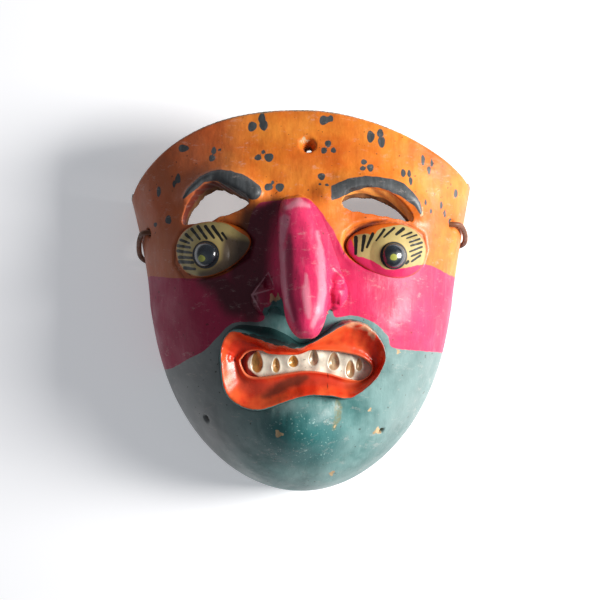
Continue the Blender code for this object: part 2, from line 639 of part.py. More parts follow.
def add_teeth(shell, silver):
    """The strip that the teeth are carved in, and the deeper pocket behind the lips."""
    for name, columns, rows, margin, finish in (
        ("teeth", 50, 6, TEETH_HIDDEN, silver), ("teeth_pocket_cutter", 50, 1, TEETH_HIDDEN + 3 * GAP, None)
    ):
        x, low, high = mouth_band(columns, margin)
        points, faces = [], []
        for layer in ("front", "back"):
            for share in np.linspace(0, 1, rows + 1):
                y = low + share * (high - low)
                base = base_height(x, y)
                if finish is None:
                    z = base + (4 * MM if layer == "front" else -TEETH_LET_IN - GAP)
                elif layer == "back":
                    z = base - TEETH_LET_IN
                else:
                    z = base + TEETH_FRONT - tooth_relief(x, share)
                points += list(zip(x, y, z))
        wide = columns + 1
        layer = wide * (rows + 1)
        for start in (0, layer):
            for row in range(rows):
                for column in range(columns):
                    corner = start + row * wide + column
                    faces.append((corner, corner + 1, corner + wide + 1, corner + wide))
        edge = list(range(wide)) + [row * wide + columns for row in range(1, rows + 1)]
        edge += [rows * wide + column for column in range(columns - 1, -1, -1)]
        edge += [row * wide for row in range(rows - 1, 0, -1)]
        for index, corner in enumerate(edge):
            after = edge[(index + 1) % len(edge)]
            faces.append((corner, after, after + layer, corner + layer))
        made = add_object(name, points, faces, finish)
        if finish is None:
            combine(shell, "DIFFERENCE", made)


def add_thong(leather):
    """The thong and the knot at each of its ends."""
    add_tube("thong", spline(np.array(THONG) * MM, THONG_POINTS, closed=False), leather)
    for side, centre in KNOTS.items():
        add_ball(side + "_knot", np.array(centre) * MM, (KNOT_RADIUS,) * 3, leather)


def main():
    for old in list(bpy.data.objects):
        bpy.data.objects.remove(old)
    orange = material("orange_paint", (0.85, 0.3, 0.03), 0.35)
    pink = material("magenta_paint", (0.62, 0.02, 0.14), 0.3)
    red = material("red_paint", (0.8, 0.07, 0.01), 0.3)
    silver = material("silver_paint", (0.6, 0.6, 0.55), 0.35, 0.6)
    cream = material("cream_paint", (0.75, 0.62, 0.3), 0.4)
    black = material("black_paint", (0.02, 0.025, 0.04), 0.2)
    wood = material("bare_wood", (0.55, 0.38, 0.2), 0.7)
    leather = material("leather", (0.2, 0.09, 0.03), 0.6)
    shell = add_bowl(orange)
    add_lips(shell, red)
    add_teeth(shell, silver)
    for side in EYES:
        add_eye(shell, side, cream, black)
    add_nose(shell, wood, pink)
    cut_slots(shell)
    cut_small_holes(shell)
    add_thong(leather)


main()
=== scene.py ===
"""The looks of a carved and painted dance mask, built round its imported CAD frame.

Each carved piece is rebuilt finely on the same shapes as its CAD solid, with the marks of the knife.
Its vertices carry signed distances in millimetres to the edges of the painted fields, positive inside,
and the materials turn them into paint with hand-drawn edges.
"""

import math

import bmesh
import bpy
import numpy as np
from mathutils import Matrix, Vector
from mathutils.bvhtree import BVHTree

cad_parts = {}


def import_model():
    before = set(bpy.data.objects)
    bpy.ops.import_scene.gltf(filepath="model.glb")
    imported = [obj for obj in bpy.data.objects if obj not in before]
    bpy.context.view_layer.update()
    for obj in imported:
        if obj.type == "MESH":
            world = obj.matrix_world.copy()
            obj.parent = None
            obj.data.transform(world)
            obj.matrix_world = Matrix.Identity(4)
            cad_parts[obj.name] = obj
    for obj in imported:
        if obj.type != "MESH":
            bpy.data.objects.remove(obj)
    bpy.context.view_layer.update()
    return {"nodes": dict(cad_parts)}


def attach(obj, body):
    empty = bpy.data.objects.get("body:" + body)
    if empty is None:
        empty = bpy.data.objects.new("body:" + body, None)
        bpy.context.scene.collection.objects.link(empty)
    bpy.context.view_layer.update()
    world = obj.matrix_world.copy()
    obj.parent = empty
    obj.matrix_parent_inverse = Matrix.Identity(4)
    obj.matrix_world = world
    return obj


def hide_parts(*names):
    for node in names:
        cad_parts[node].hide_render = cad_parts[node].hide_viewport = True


MM = 0.001

# Most lists below give places on the front in millimetres. Those of the brows, sockets, slots, lashes, lips,
# spots, chips, wing creases and colour fields were read off the photograph by eye, and many of them were
# turned into millimetres on the bowl by a scratch program, as report.md says.

# The bowl, as in the CAD part.
CROWN_Y, CHIN_Y = 95 * MM, -95 * MM
TEMPLE_Y = {"left": 53 * MM, "right": 59 * MM}
HALF_WIDTH = 78 * MM
TEMPLE_FLARE = 9.5 * MM
FLARE_POWER = {"left": 1.5, "right": 1.2}
JAW_TAPER, JAW_POWER = 0.158, 2.7
DEPTH = 66 * MM
CROWN_FALL = 18 * MM
SECTION_POWER = 2.4
CROWN_POWER = {"left": 2.25, "right": 1.9}
WALL, FRONT_WALL = 6 * MM, 8 * MM
RIM_LIFT = 7 * MM
RIM_LIFT_FROM, RIM_LIFT_TO = 8 * MM, 46 * MM

# Relief: x, y, x radius, y radius and height of each soft swelling or hollow, in millimetres.
SWELLINGS = [
    (-46, -6, 20, 16, 2.5), (46, -6, 20, 16, 2.5), (0, -28, 36, 22, 3.5), (0, 42, 9, 9, 1.5),
    (-40, 43, 18, 7, -2), (38, 43, 18, 7, -2), (-26, 29, 8, 12, -3.5), (25, 34, 7, 8, -2.5),
]
CHIN_BALL = (-2 * MM, -59 * MM, 26 * MM, 20 * MM, 11 * MM)
BROWS = {  # (x, y, half width) in millimetres
    "left": [(-56.3, 51.5, 0.6), (-53.1, 55.2, 1.6), (-47.3, 60.1, 1.9), (-42.4, 61.9, 2.3), (-38.5, 61.8, 3),
             (-34.2, 60.2, 3.9), (-29.8, 58.4, 4.3), (-26, 56, 4.5), (-22.7, 54, 4.1)],
    "right": [(13, 52.6, 3.4), (17.4, 54.2, 3.4), (23.1, 57, 3.2), (30.3, 58.8, 2.8), (36.5, 58.6, 2.6),
              (42.8, 57.3, 3.1), (47.7, 55.5, 3.2), (52.1, 52.3, 2.6), (55.7, 48.7, 1.9), (57.7, 44.4, 0.7)],
}
BROW_ROLL = {"left": 2.3, "right": 0.3}
BROW_END = 14.2  # x at which the right brow's paint is cut off square
SOCKETS = {  # the ledge round each eye, in millimetres, and how deep the socket is sunk at the nose's side
    "left": [(-62, 20), (-61.5, 29), (-57, 37), (-48, 41.2), (-38, 41.5), (-29, 38.5), (-21.5, 31), (-24, 22),
             (-36, 15), (-48, 10.8), (-56, 11.5)],
    "right": [(19.3, 30.4), (20.7, 34.6), (24.1, 37.5), (28.9, 39.6), (35.2, 40.6), (43, 40.6), (52, 39.6),
              (59.5, 35), (61.5, 27), (59, 19), (47, 16.8), (43.1, 15.9), (37.3, 15.4), (30.1, 17.3),
              (25.4, 20.1), (21.6, 23.3), (19.2, 27.1)],
}
SOCKET_SINK = 2.2 * MM

# Openings, in millimetres.
SLOTS = {
    "left": [(-58.3, 41.5), (-57.6, 48), (-53.1, 53.2), (-49.1, 56.6), (-42.3, 59), (-35.1, 56.2),
             (-27.4, 51.8), (-23.4, 48.6), (-24.5, 45.6), (-33.9, 43.1), (-42, 40.9), (-50, 40.2)],
    "right": [(18.4, 46.3), (19.4, 49.9), (23.1, 53.6), (31.7, 55.2), (39.7, 54.6), (48.1, 51.8),
              (54.3, 47.3), (55.3, 44), (52, 42.6), (41, 42.8), (30, 43.2), (21.7, 44)],
}
SLOT_LEAN = {"toward nose": 0.28, "left": 0.42, "right": 0.55}
HANG_HOLE = (4, 76, 1.3)
JAW_HOLES = [(-46, -55, 1.6), (38.8, -60.5, 1.3)]
TIE_HOLES = {"left": (36, 33), "right": (40, 35)}
TIE_HOLE_RADIUS = 1.9
HOLE_MOUTH = (4.4, 1.1, 6.5)  # the hanging hole's opened-out front: its two radii and its depth
CUTTER_ABOVE, CUTTER_BELOW = 16 * MM, 26 * MM  # how far a slot's cutter reaches from the face

# The nose, in millimetres.
NOSE_FOOT = [(0, 54), (9, 46), (15, 31), (20, 15), (22, 4), (14, -4), (0, -5.5), (-15, -4), (-22.5, 4),
             (-19, 17), (-14, 32), (-9, 46)]
NOSE_FILLET, NOSE_FILLET_WIDTH = 0.8, 11 * MM
NOSE_GRAIN = 0.65 * MM  # the size of the cells that its parts are melted into
RIDGE = [  # x, y, z, half width and half height from the root to the tip
    (-2.4, 51.5, 60, 4.5, 3), (-2.6, 48.5, 62.8, 7, 5.2), (-2.2, 42, 66.5, 8.6, 7.5),
    (-0.8, 33, 70.5, 9.8, 8.6), (1, 22, 75.5, 10.8, 9.6), (1.8, 9, 80.5, 11, 10.4), (2, -1, 83.5, 10, 10.6),
    (2.2, -8.5, 84.6, 8.2, 9), (2.2, -12.8, 84, 5.8, 6.2), (2.3, -15, 83.3, 2.8, 3.2),
]
WINGS = [((-17, 3, 66), (6.5, 8, 7)), ((16.4, 6.5, 65.5), (5.4, 8.8, 7))]
NOSTRILS = [(-12.5, -3.2, 68, 3), (13.6, -3, 66, 1)]
WING_NOTCHES = [(17.4, 9.6, 3.2, 1.6, 1.6), (15.6, 2.5, 2, 2.6, 1), (-15.2, 10.8, 1.7, 2.6, 1.3),
                (-18.6, 2.4, 3.2, 2.2, 1.0)]
NOSE_UNDERSIDE = [
    (-18, -3), (-15.5, 3), (-8, 4), (-5, -9), (12, -9), (13, -2), (16.5, -4), (17, -9), (-16, -9),
]
# Painted light in the nostrils: pale, wood-coloured dabs for the light that shows in them, drawn like chips.
NOSE_CHIPS = [(-13.6, 3.6, 1.1, 2.2), (-10.8, 3.8, 1, 2), (13.9, -3.6, 1.3, 1.4)]
# Painted highlights and a painted reflection down the nose's glossy ridge, and a painted glare at its root,
# as (x, y, half width).
PALE_STREAKS = [
    [(-7.5, 40, 2.2), (-9.2, 28, 1.2), (-8.4, 14, 1.4), (-6.6, 2, 1.3), (-3.4, -7, 0.6)],
    [(7.4, 34, 0.6), (9.4, 20, 1.8), (9.6, 6, 2.2), (8, -3, 1.4), (5, -9, 1)],
    [(2.4, 14, 0.8), (2.2, 7, 1.8), (3, -1, 1.6), (3.4, -5, 0.8)],
    [(-6.5, 45.5, 1.4), (-1.5, 48.2, 2), (3.5, 46.6, 1.2)],
]
PALE_FROM, MAROON_FROM = 63 * MM, 66 * MM  # the height over which the nose has each kind of streak
WING_TOP, UNDERSIDE_TOP = 74, 72  # heights below which the wings' cuts and the teal underside are
MAROON_STREAK = [(-5.2, 32, 1), (-5.4, 20, 1.6), (-4.4, 4, 1.6), (-2.4, -6, 0.8)]
# Creases raised on the wings. Their edges are also painted pale, as painted highlights.
WING_CREASES = [(-22.8, 4.9, -15.3, 15.6), (-15.3, 15.6, -12.8, 9.4), (-22.3, 5.2, -12.6, 7.8),
                (-22.6, 4.4, -18.6, -2.6), (15, 17.5, 19.5, 13)]

# Eyes: x, y, half length, half height, turn in degrees, the pupil's x, y and its painted dot's x, y.
EYES = {
    "left": (-42, 27.5, 18.5, 12.8, 12, (-45, 24), (-46.6, 22.2)),
    "right": (41, 26.5, 19.5, 12.8, -6, (43.7, 23.5), (43.3, 22.6)),
}
EYE_TAPER = 0.22
LASH_GROOVE = 0.06 * MM
EYE_EDGE, EYE_PLATE, EYE_BALL = -0.2 * MM, 2.9 * MM, 2.3 * MM
EYE_BALL_RADIUS, EYE_RADIUS = 11.5, 14  # of the ball round the pupil and of the whole eye, in millimetres
PUPIL_RADIUS, PUPIL_HEIGHT, PUPIL_LET_IN = 5.9 * MM, 4 * MM, 1.4 * MM
CREAM = {
    "left": [(-61.5, 20.9), (-61, 27), (-58.8, 32.4), (-55, 36.6), (-49.5, 39.9), (-43, 41), (-37, 40),
             (-31.2, 36.2), (-24.4, 31), (-26.3, 23.7), (-37, 15), (-48, 10.5), (-54, 11)],
    "right": [(24.9, 32.4), (30, 33.8), (34.6, 33.6), (37, 36), (43.2, 37.8), (51.1, 39), (57, 37),
              (61, 32.4), (61, 27.7), (59.7, 20.6), (54.5, 19), (46.8, 17.4), (40, 17), (34.5, 20.6),
              (29, 22.6), (25.8, 24)],
}
EYE_ORANGE = {  # the part of each eye's plate that is painted like the brow
    "left": [(-70, 13), (-44, 13), (-33, 16), (-20, 27), (-20, 60), (-70, 60)],
    "right": [(15, 34), (23, 31.5), (25, 27.5), (31, 24), (37, 22), (47, 20.5), (58, 22), (70, 21), (70, 60),
              (15, 60)],
}
LASHES = {  # x, y of a lash's outer and inner ends, and its half width
    "left": [
        (-56.5, 14.8, -53.3, 14.6, 0.7), (-55.9, 18, -50.4, 17.3, 0.7), (-58.5, 21, -51.2, 20.4, 0.75),
        (-58.6, 23.2, -51.6, 22.6, 0.65), (-59.3, 26.2, -52, 25, 0.6), (-59.3, 28.8, -52.9, 27.6, 0.6),
        (-57.8, 31.5, -53.3, 29.7, 0.55), (-55.1, 34, -51.6, 30.9, 0.6), (-52.3, 36.6, -48, 31.4, 0.6),
        (-49.2, 37.7, -44.7, 31.7, 0.65), (-45.5, 37.6, -41.1, 31.9, 0.65), (-41.9, 37.5, -37.1, 30.7, 0.65),
        (-37.2, 34.2, -35.1, 31.4, 0.4),
    ],
    "right": [
        (25.9, 32.1, 25.6, 24.3, 0.8), (29.8, 32.6, 28.7, 25.8, 0.75), (33.8, 33.8, 30.9, 27.4, 0.6),
        (39.4, 35.9, 35.4, 30.6, 0.45), (44.2, 36.8, 39.1, 32.3, 0.45), (48.7, 36.5, 45.1, 33.7, 0.7),
        (52.8, 34.9, 47.7, 32.8, 0.3), (55.4, 33.8, 50.2, 31.9, 0.3), (56.9, 31.9, 51.6, 30.1, 0.35),
        (58, 30.2, 52.2, 28.4, 0.4), (58, 28.1, 51.6, 25.5, 0.35), (57.7, 25.7, 52.4, 23.4, 0.4),
        (57.1, 23.9, 52.6, 20.9, 0.4), (50.8, 20.9, 49.7, 19.8, 0.5),
    ],
}

# The mouth: foot x, y, crest x, y and inner x, y around the lips, clockwise from the left corner.
LIPS = [
    (-39.3, -27.5, -37.3, -25, -28.5, -26.4), (-38.4, -20.5, -37, -19, -27.6, -24.6),
    (-36, -13.8, -34.6, -14, -25.6, -22.4), (-29.6, -8.8, -30.8, -12, -22.4, -21.2),
    (-22, -8.6, -23.4, -14.1, -18.2, -21.3), (-13.5, -9.2, -15.7, -17.1, -15, -22.7),
    (-6, -12.6, -8.6, -18.6, -8, -23.1), (-0.5, -16.6, -1.4, -19.8, -1, -22.9),
    (4.4, -15.8, 4.2, -17.8, 4.4, -20.9), (10.4, -12.3, 11.2, -14, 8.6, -20.9),
    (17.6, -7.1, 18, -10, 14.5, -21.4), (24.6, -6.3, 25, -8, 20.4, -22.2),
    (33, -9.9, 32.2, -11.2, 27, -23.8), (38.6, -16.4, 37.6, -17.2, 31.4, -26.4),
    (40.6, -24.4, 39.5, -24.6, 33.4, -29.4), (37.2, -33, 36.4, -32, 31.8, -33.2),
    (31.6, -39, 31, -38, 27.4, -35.2), (22.6, -44.2, 22.6, -42.9, 20.5, -34),
    (13.4, -43, 13.6, -41.6, 12.4, -31.6), (2.6, -42.8, 2.8, -41.5, 2.6, -30.5),
    (-7.1, -46, -7, -44.2, -6.6, -31.5), (-19.8, -50.3, -19.4, -48.2, -15.6, -33),
    (-30.4, -47.4, -29.4, -46, -22.6, -33.4), (-37, -40.4, -35.6, -39.4, -26.4, -31.4),
]
# Painted shadow along the upper lip's crest at its left, where the flange overhangs, as (x, y, half width).
SOOT = [(-27.6, -12.8, 0.4), (-21.7, -14.2, 0.9), (-13.9, -16.2, 1.3), (-5.5, -18.2, 1.1), (-0.7, -19, 0.5)]
MOUTH_SEAT = -3.6 * MM
LIP_SECTION = [  # share of the way from the inner edge to the crest, and height in millimetres over the bowl
    (0, -1.2), (0, 0.4), (0, 1.5), (0.03, 2.2), (0.08, 2.4), (0.15, 1.9), (0.25, 1.6), (0.35, 2), (0.45, 2.8),
    (0.55, 3.8), (0.65, 4.8), (0.75, 6), (0.84, 7.2), (0.91, 8.1), (0.96, 8.6), (1, 8.8),
]
TEETH_FROM, TEETH_TO = -29 * MM, 37 * MM
TEETH_LET_IN, TEETH_FRONT, TEETH_HIDDEN = 4.6 * MM, -1.6 * MM, 1.6 * MM
TOOTH_HOLLOWS = [  # x, the share of the height, half width, half height and how ochre it is
    (-20.8, 0.55, 2.7, 5.2, 1), (-11.8, 0.47, 1.8, 3.5, 0.9), (-3.7, 0.58, 2.3, 2.8, 1),
    (5.9, 0.6, 2.1, 3.9, 0.35), (15.4, 0.55, 2.6, 4.3, 0.5), (23.2, 0.42, 2.1, 4.3, 0.65),
    (27.4, 0.62, 1.5, 3.2, 0.6),
]
TOOTH_HOLLOW_DEPTH = 1.5 * MM
# The strip's left end is painted dark red, as painted shadow.
TOOTH_END = -25  # left of this the strip drops away and is red

# The thong's route and its knots, as in the CAD part, in millimetres.
THONG_RADIUS, KNOT_STRAND = 1.3 * MM, 1.05 * MM
KNOTS = {"left": (-62.6, 36, 32.6), "right": (60, 40, 33.5)}
THONG = [
    (-66.2, 36, 33), (-71.2, 36, 33), (-75.8, 36, 33), (-77.8, 35.9, 32.5), (-79.2, 35.5, 31),
    (-80.1, 34.6, 28.2), (-81.6, 32.1, 22.8), (-82.7, 28.8, 15.8), (-83.1, 26.1, 9.8), (-82.3, 24, 5),
    (-80, 22.5, 2.2), (-76.7, 21.2, 1.4), (-74, 19.4, 1.32), (-69.8, 15.5, 1.32), (-66.8, 8, 1.32),
    (-65.5, -4, 1.32), (-63, -18, 1.32), (-57, -33, 1.32), (-47, -48, 1.32), (-33, -60, 1.32),
    (-15, -67, 1.32), (4, -67.5, 1.32), (22, -62, 1.32), (37, -51, 1.32), (48, -37, 1.32),
    (55, -21, 1.32), (59, -5, 1.32), (61.5, 9, 1.32), (65.5, 20, 1.32), (71, 26.4, 1.32),
    (75.4, 28.8, 1.32), (79.1, 29.8, 1.5), (82.2, 30.5, 2.9), (84.2, 31.6, 6.2), (84.4, 33.2, 11.2),
    (83.4, 35.6, 18.4), (81.4, 38, 26), (79.9, 39.2, 30.6), (78.8, 39.7, 33), (77.4, 39.9, 34.4),
    (75.2, 40, 35), (70.5, 40, 35), (64.2, 40, 34.4),
]

# Painted fields, in millimetres.
ORANGE = [
    (-100, 15), (-76, 14.6), (-69, 13.9), (-57, 13), (-40, 13.5), (-30, 19), (-27.5, 27), (-25.5, 36),
    (-23, 44), (-19.5, 48.4), (-10, 49.6), (-0.5, 50.8), (4, 49.8), (8, 46), (13.6, 37.9), (18.3, 29.4),
    (20.7, 24.7), (24, 21), (30.1, 18), (39.7, 15.5), (49.5, 16.5), (57.1, 19.6), (63.5, 19.1), (74, 15),
    (82.2, 14.1), (100, 14), (100, 120), (-100, 120),
]
TEAL = [
    (-100, -34), (-73.8, -33), (-63.7, -31), (-53.4, -25.3), (-45.6, -21.2), (-39, -14.5), (-32, -8.2),
    (-18.3, -7.2), (-17, -2), (-14, 4), (12, 4), (14.5, -2), (16.5, -5.4), (24, -4.6), (33.5, -7.7),
    (40.6, -13.9), (43, -19.6), (52.2, -21.4), (67.5, -23.2), (75.4, -24.6), (100, -26), (100, -120),
    (-100, -120),
]
SPOTS = [  # x, y and the two half widths of each dab
    (-56.9, 76, 2.5, 1.8), (-41.9, 74.3, 1.2, 1.7), (-39, 74.6, 0.8, 0.8), (-42.8, 70.7, 1.5, 1.6),
    (-59.4, 61.4, 1.2, 2.2), (-61.5, 58.7, 0.7, 1.7), (-69.5, 55.6, 1.1, 2.4), (-64.4, 41.5, 1.5, 1.9),
    (-71.5, 39.5, 1, 1), (-23.5, 86.2, 2.1, 2.4), (-18.9, 90.3, 1.7, 2.7), (-18, 86.5, 1.9, 2.5),
    (-18, 73.3, 1, 1), (-20.5, 70.6, 1.6, 1.5), (-15.3, 70.6, 2.1, 2.1), (-15.4, 56.1, 1.9, 1.7),
    (-13.5, 58.3, 0.9, 1), (-10.1, 56, 2, 2), (11.1, 89.2, 2.2, 2.3), (14.3, 90, 1.4, 1.6),
    (12.9, 77.4, 1.4, 1.7), (10.9, 74, 1.4, 1.6), (15.4, 74.2, 1.3, 1.4), (9.7, 61.2, 1.7, 1.6),
    (8.9, 57.4, 0.9, 0.6), (12.3, 57, 1.1, 0.7), (15.1, 50.7, 0.9, 0.7), (33.5, 81.3, 1.7, 2.9),
    (38.2, 83, 1.5, 2.1),
    (38.7, 78.6, 1.7, 2.6), (30.1, 68.5, 1.4, 1.3), (29.3, 65.2, 1.3, 1), (33.1, 65.6, 1.5, 1.9),
    (49, 63.7, 1.2, 2), (52, 63.6, 0.7, 1.7), (52.7, 59.5, 0.8, 1.9), (59.1, 70.5, 0.9, 2.4),
    (63.6, 69.2, 0.7, 1.9), (62.1, 65.5, 0.8, 1.9), (76.6, 55.3, 1.1, 2), (60.1, 49.8, 0.6, 1.4),
    (62.9, 45.7, 0.5, 1.2), (68.5, 48.7, 0.6, 2), (70.4, 44.7, 0.6, 2), (73.4, 41, 0.8, 2.2),
]
CHIN_SHEEN = (0, -63, 23, 17)  # the chin ball's deeper paint
DRIP = [(16.6, -43.5, 0.8), (17.6, -48, 1.9), (17.2, -53, 1.7), (15.4, -58, 0.9)]
LIP_SMEAR = [(-17, -42.5, 0.8), (-11.5, -39.5, 1.9), (-5, -36, 2.2), (2, -33.8, 1.1)]
EYE_SHADE = [(-36.5, 33.5), (-38, 22), (-43, 17.8), (-49, 16), (-52, 4), (-14, 4), (-18, 30), (-27, 31.5)]
SOCKET_SHADE = [(20.6, 25, 0.3), (22, 30.5, 0.9), (27.6, 36.3, 1), (34, 39.2, 0.8), (41, 40.8, 0.2)]
CHIPS = [  # x, y and half widths of each chip down to the wood
    (-10.3, -59.8, 2, 1.6), (36.6, -60.5, 1.9, 1.7), (14.6, -81.4, 1.5, 1.2), (46.6, -22.1, 1.4, 0.8),
    (32.9, -49.6, 0.9, 0.8), (15.6, -57, 0.7, 0.7),
    (2, 79.2, 1.6, 1.4), (58.3, 44.2, 0.7, 1.7), (23, -8.2, 3.4, 1.0), (29, -9.4, 2.4, 0.9),
]
# Painted shadow: the nose's cast shadow to its left, over the left cheek and the nose's own left flank, and
# the shade under the left eye, as (x, y, half width).
UNDER_EYE = [(-46.5, 12, 1.5), (-38, 9.5, 5), (-30, 3, 8)]
DIRT = [(-13, 47, 3), (-21, 40, 8), (-24, 28, 9), (-25, 14, 9), (-25, 3, 8), (-24, -5, 4)]
LIP_WEAR = [(23.5, -8.4, 4.5, 1.6), (29.5, -10.2, 3.6, 1.8), (33.4, -13.4, 2, 2)]
CRACKS = [(-12.6, 52.6, -10.4, 54.4), (12.6, -31.4, 12.2, -41.2), (18.2, 17.6, 20.6, 14.2)]

NOWHERE = -9.0  # a signed distance far outside a field
LIP_STATIONS = 300

# The view and the light, in metres, for a camera of CAMERA_SENSOR and CAMERA_LENS millimetres.
CAMERA_PLACE, CAMERA_SENSOR, CAMERA_LENS = (-0.5 * MM, 2.6 * MM, 0.62), 36, 71
WINDOW_PLACE, WINDOW_AIM, WINDOW_SIZE = (0.9, 0.06, 0.52), (0, 0, 0.03), (0.34, 0.42)
WINDOW_POWER, WINDOW_TINT = 20.5, (1, 0.98, 0.95)
SKY_TINT, SKY_STRENGTH = (0.86, 0.91, 1, 1), 0.19
FLOOR_SIZE, FLOOR_DROP, FLOOR_GLOW = 6, 0.2 * MM, 0.32

PAINT = {  # colours as they are named on a screen, 0 to 255
    "orange": (224, 104, 24), "amber": (244, 146, 52), "magenta": (206, 42, 90), "teal": (36, 100, 98),
    "red": (226, 58, 30), "ink": (70, 73, 75), "cream": (200, 178, 116), "silver": (234, 228, 208),
    # the dark brown on the next line is for real grime and for painted shade in the sockets' creases
    "ochre": (188, 140, 70), "wood": (204, 174, 134), "old_wood": (116, 78, 48), "grime": (48, 30, 24),
    "pupil": (23, 29, 37), "dot": (160, 164, 70), "leather": (98, 56, 30),
}


def spline(points, count, closed=True):
    """count points on a smooth curve through points, which are rows of numbers."""
    points = np.asarray(points, float)
    last = len(points) if closed else len(points) - 1
    at = np.linspace(0, last, count, endpoint=not closed)
    first = np.minimum(at.astype(int), last - 1)
    part = (at - first)[:, None]
    if closed:
        p0, p1, p2, p3 = (points[(first + shift) % len(points)] for shift in (-1, 0, 1, 2))
    else:
        p0, p1, p2, p3 = (points[np.clip(first + shift, 0, last)] for shift in (-1, 0, 1, 2))
    linear = p2 - p0
    square = 2 * p0 - 5 * p1 + 4 * p2 - p3
    cube = 3 * p1 - p0 - 3 * p2 + p3
    return p1 + 0.5 * part * (linear + part * (square + part * cube))


def smooth_step(value):
    """0 up to 0, 1 from 1 on, and a smooth rise between."""
    value = np.clip(value, 0, 1)
    return value * value * (3 - 2 * value)


def segment_distance(px, py, start, end):
    """Distance to the straight line between two points, and the share of the way along it that is nearest."""
    (ax, ay), (bx, by) = start, end
    along_x, along_y = bx - ax, by - ay
    part = np.clip(((px - ax) * along_x + (py - ay) * along_y) / (along_x**2 + along_y**2), 0, 1)
    return np.hypot(px - ax - part * along_x, py - ay - part * along_y), part


def signed_distance(x, y, outline):
    """Millimetres from each point, in metres, to a closed outline in millimetres, positive inside it."""
    outline = np.asarray(outline, float)
    px, py = np.asarray(x) / MM, np.asarray(y) / MM
    nearest = np.full(px.shape, 1e9)
    inside = np.zeros(px.shape, bool)
    for (ax, ay), (bx, by) in zip(outline, np.roll(outline, -1, axis=0)):
        nearest = np.minimum(nearest, segment_distance(px, py, (ax, ay), (bx, by))[0])
        if ay != by:
            inside ^= ((ay > py) != (by > py)) & (px < (bx - ax) * (py - ay) / (by - ay) + ax)
    return np.where(inside, nearest, -nearest)


def field_distance(x, y, outline):
    """The same for a painted field, whose edge is a smooth curve through the outline's points."""
    return signed_distance(x, y, spline(np.array(outline, float), 6 * len(outline)))


def stroke_distance(x, y, path):
    """The same for a stroke through (x, y, half width) points."""
    px, py = np.asarray(x) / MM, np.asarray(y) / MM
    best = np.full(px.shape, -1e9)
    for (ax, ay, a_width), (bx, by, b_width) in zip(path, path[1:]):
        away, part = segment_distance(px, py, (ax, ay), (bx, by))
        best = np.maximum(best, a_width + part * (b_width - a_width) - away)
    return best


def line_distance(x, y, lines, start, end):
    """The same for a group of straight lines. start and end are the half widths of their two ends."""
    found = [stroke_distance(x, y, [(ax, ay, start), (bx, by, end)]) for ax, ay, bx, by in lines]
    return np.max(found, axis=0)


def dab_distance(x, y, dabs, corners=0.0):
    """The same for a group of oval dabs. corners makes them three-cornered, each turned its own way."""
    best = np.full(np.shape(x), -1e9)
    for index, (centre_x, centre_y, half_x, half_y) in enumerate(dabs):
        u, v = (x / MM - centre_x) / half_x, (y / MM - centre_y) / half_y
        reach = np.hypot(u, v) / (1 + corners * np.cos(3 * np.arctan2(v, u) + 2.1 * index))
        best = np.maximum(best, (1 - reach) * min(half_x, half_y))
    return best


def on_side(x, values):
    """The value for the left or for the right, by the sign of x."""
    return np.where(x < 0, values["left"], values["right"])


def half_width(x, y, inset=0.0):
    """Half of the bowl's width at y, on the side of x. inset is the wall, for the hollow."""
    below = np.clip(y / (CHIN_Y + inset), 0, 1)
    flare = TEMPLE_FLARE * np.clip(y / on_side(x, TEMPLE_Y), 0, None) ** on_side(x, FLARE_POWER)
    widest = HALF_WIDTH - inset + np.where(y < 0, JAW_TAPER * y, flare)
    return widest * np.sqrt(1 - below**JAW_POWER)


def midline(y, inset=0.0):
    """Height of the plain bowl, or of its hollow, along the middle."""
    below = np.clip(y / (CHIN_Y + inset), 0, 1)
    fall = CROWN_FALL * np.clip(y / CROWN_Y, 0, 1) ** 2
    return (DEPTH - inset * FRONT_WALL / WALL) * np.cbrt(1 - below**3) - fall


def base_height(x, y):
    """Height of the plain bowl."""
    across = np.clip(np.abs(x) / half_width(x, y), 0, 1)
    return midline(y) * (1 - across**SECTION_POWER) ** (1 / SECTION_POWER)


def knife_marks(x, y):
    """Low, uneven waves that the knife left."""
    u, v = x / MM, y / MM
    waves = np.sin(0.23 * u + 0.11 * v + 1.1) + np.sin(0.12 * u - 0.21 * v + 0.4)
    waves += 0.7 * np.sin(0.37 * u + 0.05 * v + 2.6 + np.sin(0.11 * v)) + 0.6 * np.sin(0.43 * v - 0.14 * u)
    waves += 0.35 * np.sin(0.71 * u + 0.33 * v) * np.sin(0.52 * v + 0.6)
    return 0.11 * MM * waves


def chin_grain(x, y):
    """Arcs round the chin ball, where the knife followed the grain."""
    away = np.hypot(x / MM + 2, (y / MM + 52) * 1.15)
    fade = smooth_step((-38 - y / MM) / 10) * smooth_step((60 - away) / 20)
    return 0.05 * MM * np.sin(away * 1.15 + np.sin(0.2 * x / MM)) * fade


def soft_relief(x, y):
    """The shell's broad relief alone, which the eyes lie on."""
    height = np.zeros(np.shape(x))
    for centre_x, centre_y, radius_x, radius_y, rise in SWELLINGS:
        away = ((x / MM - centre_x) / radius_x) ** 2 + ((y / MM - centre_y) / radius_y) ** 2
        height = height + rise * MM * np.exp(-away)
    return height


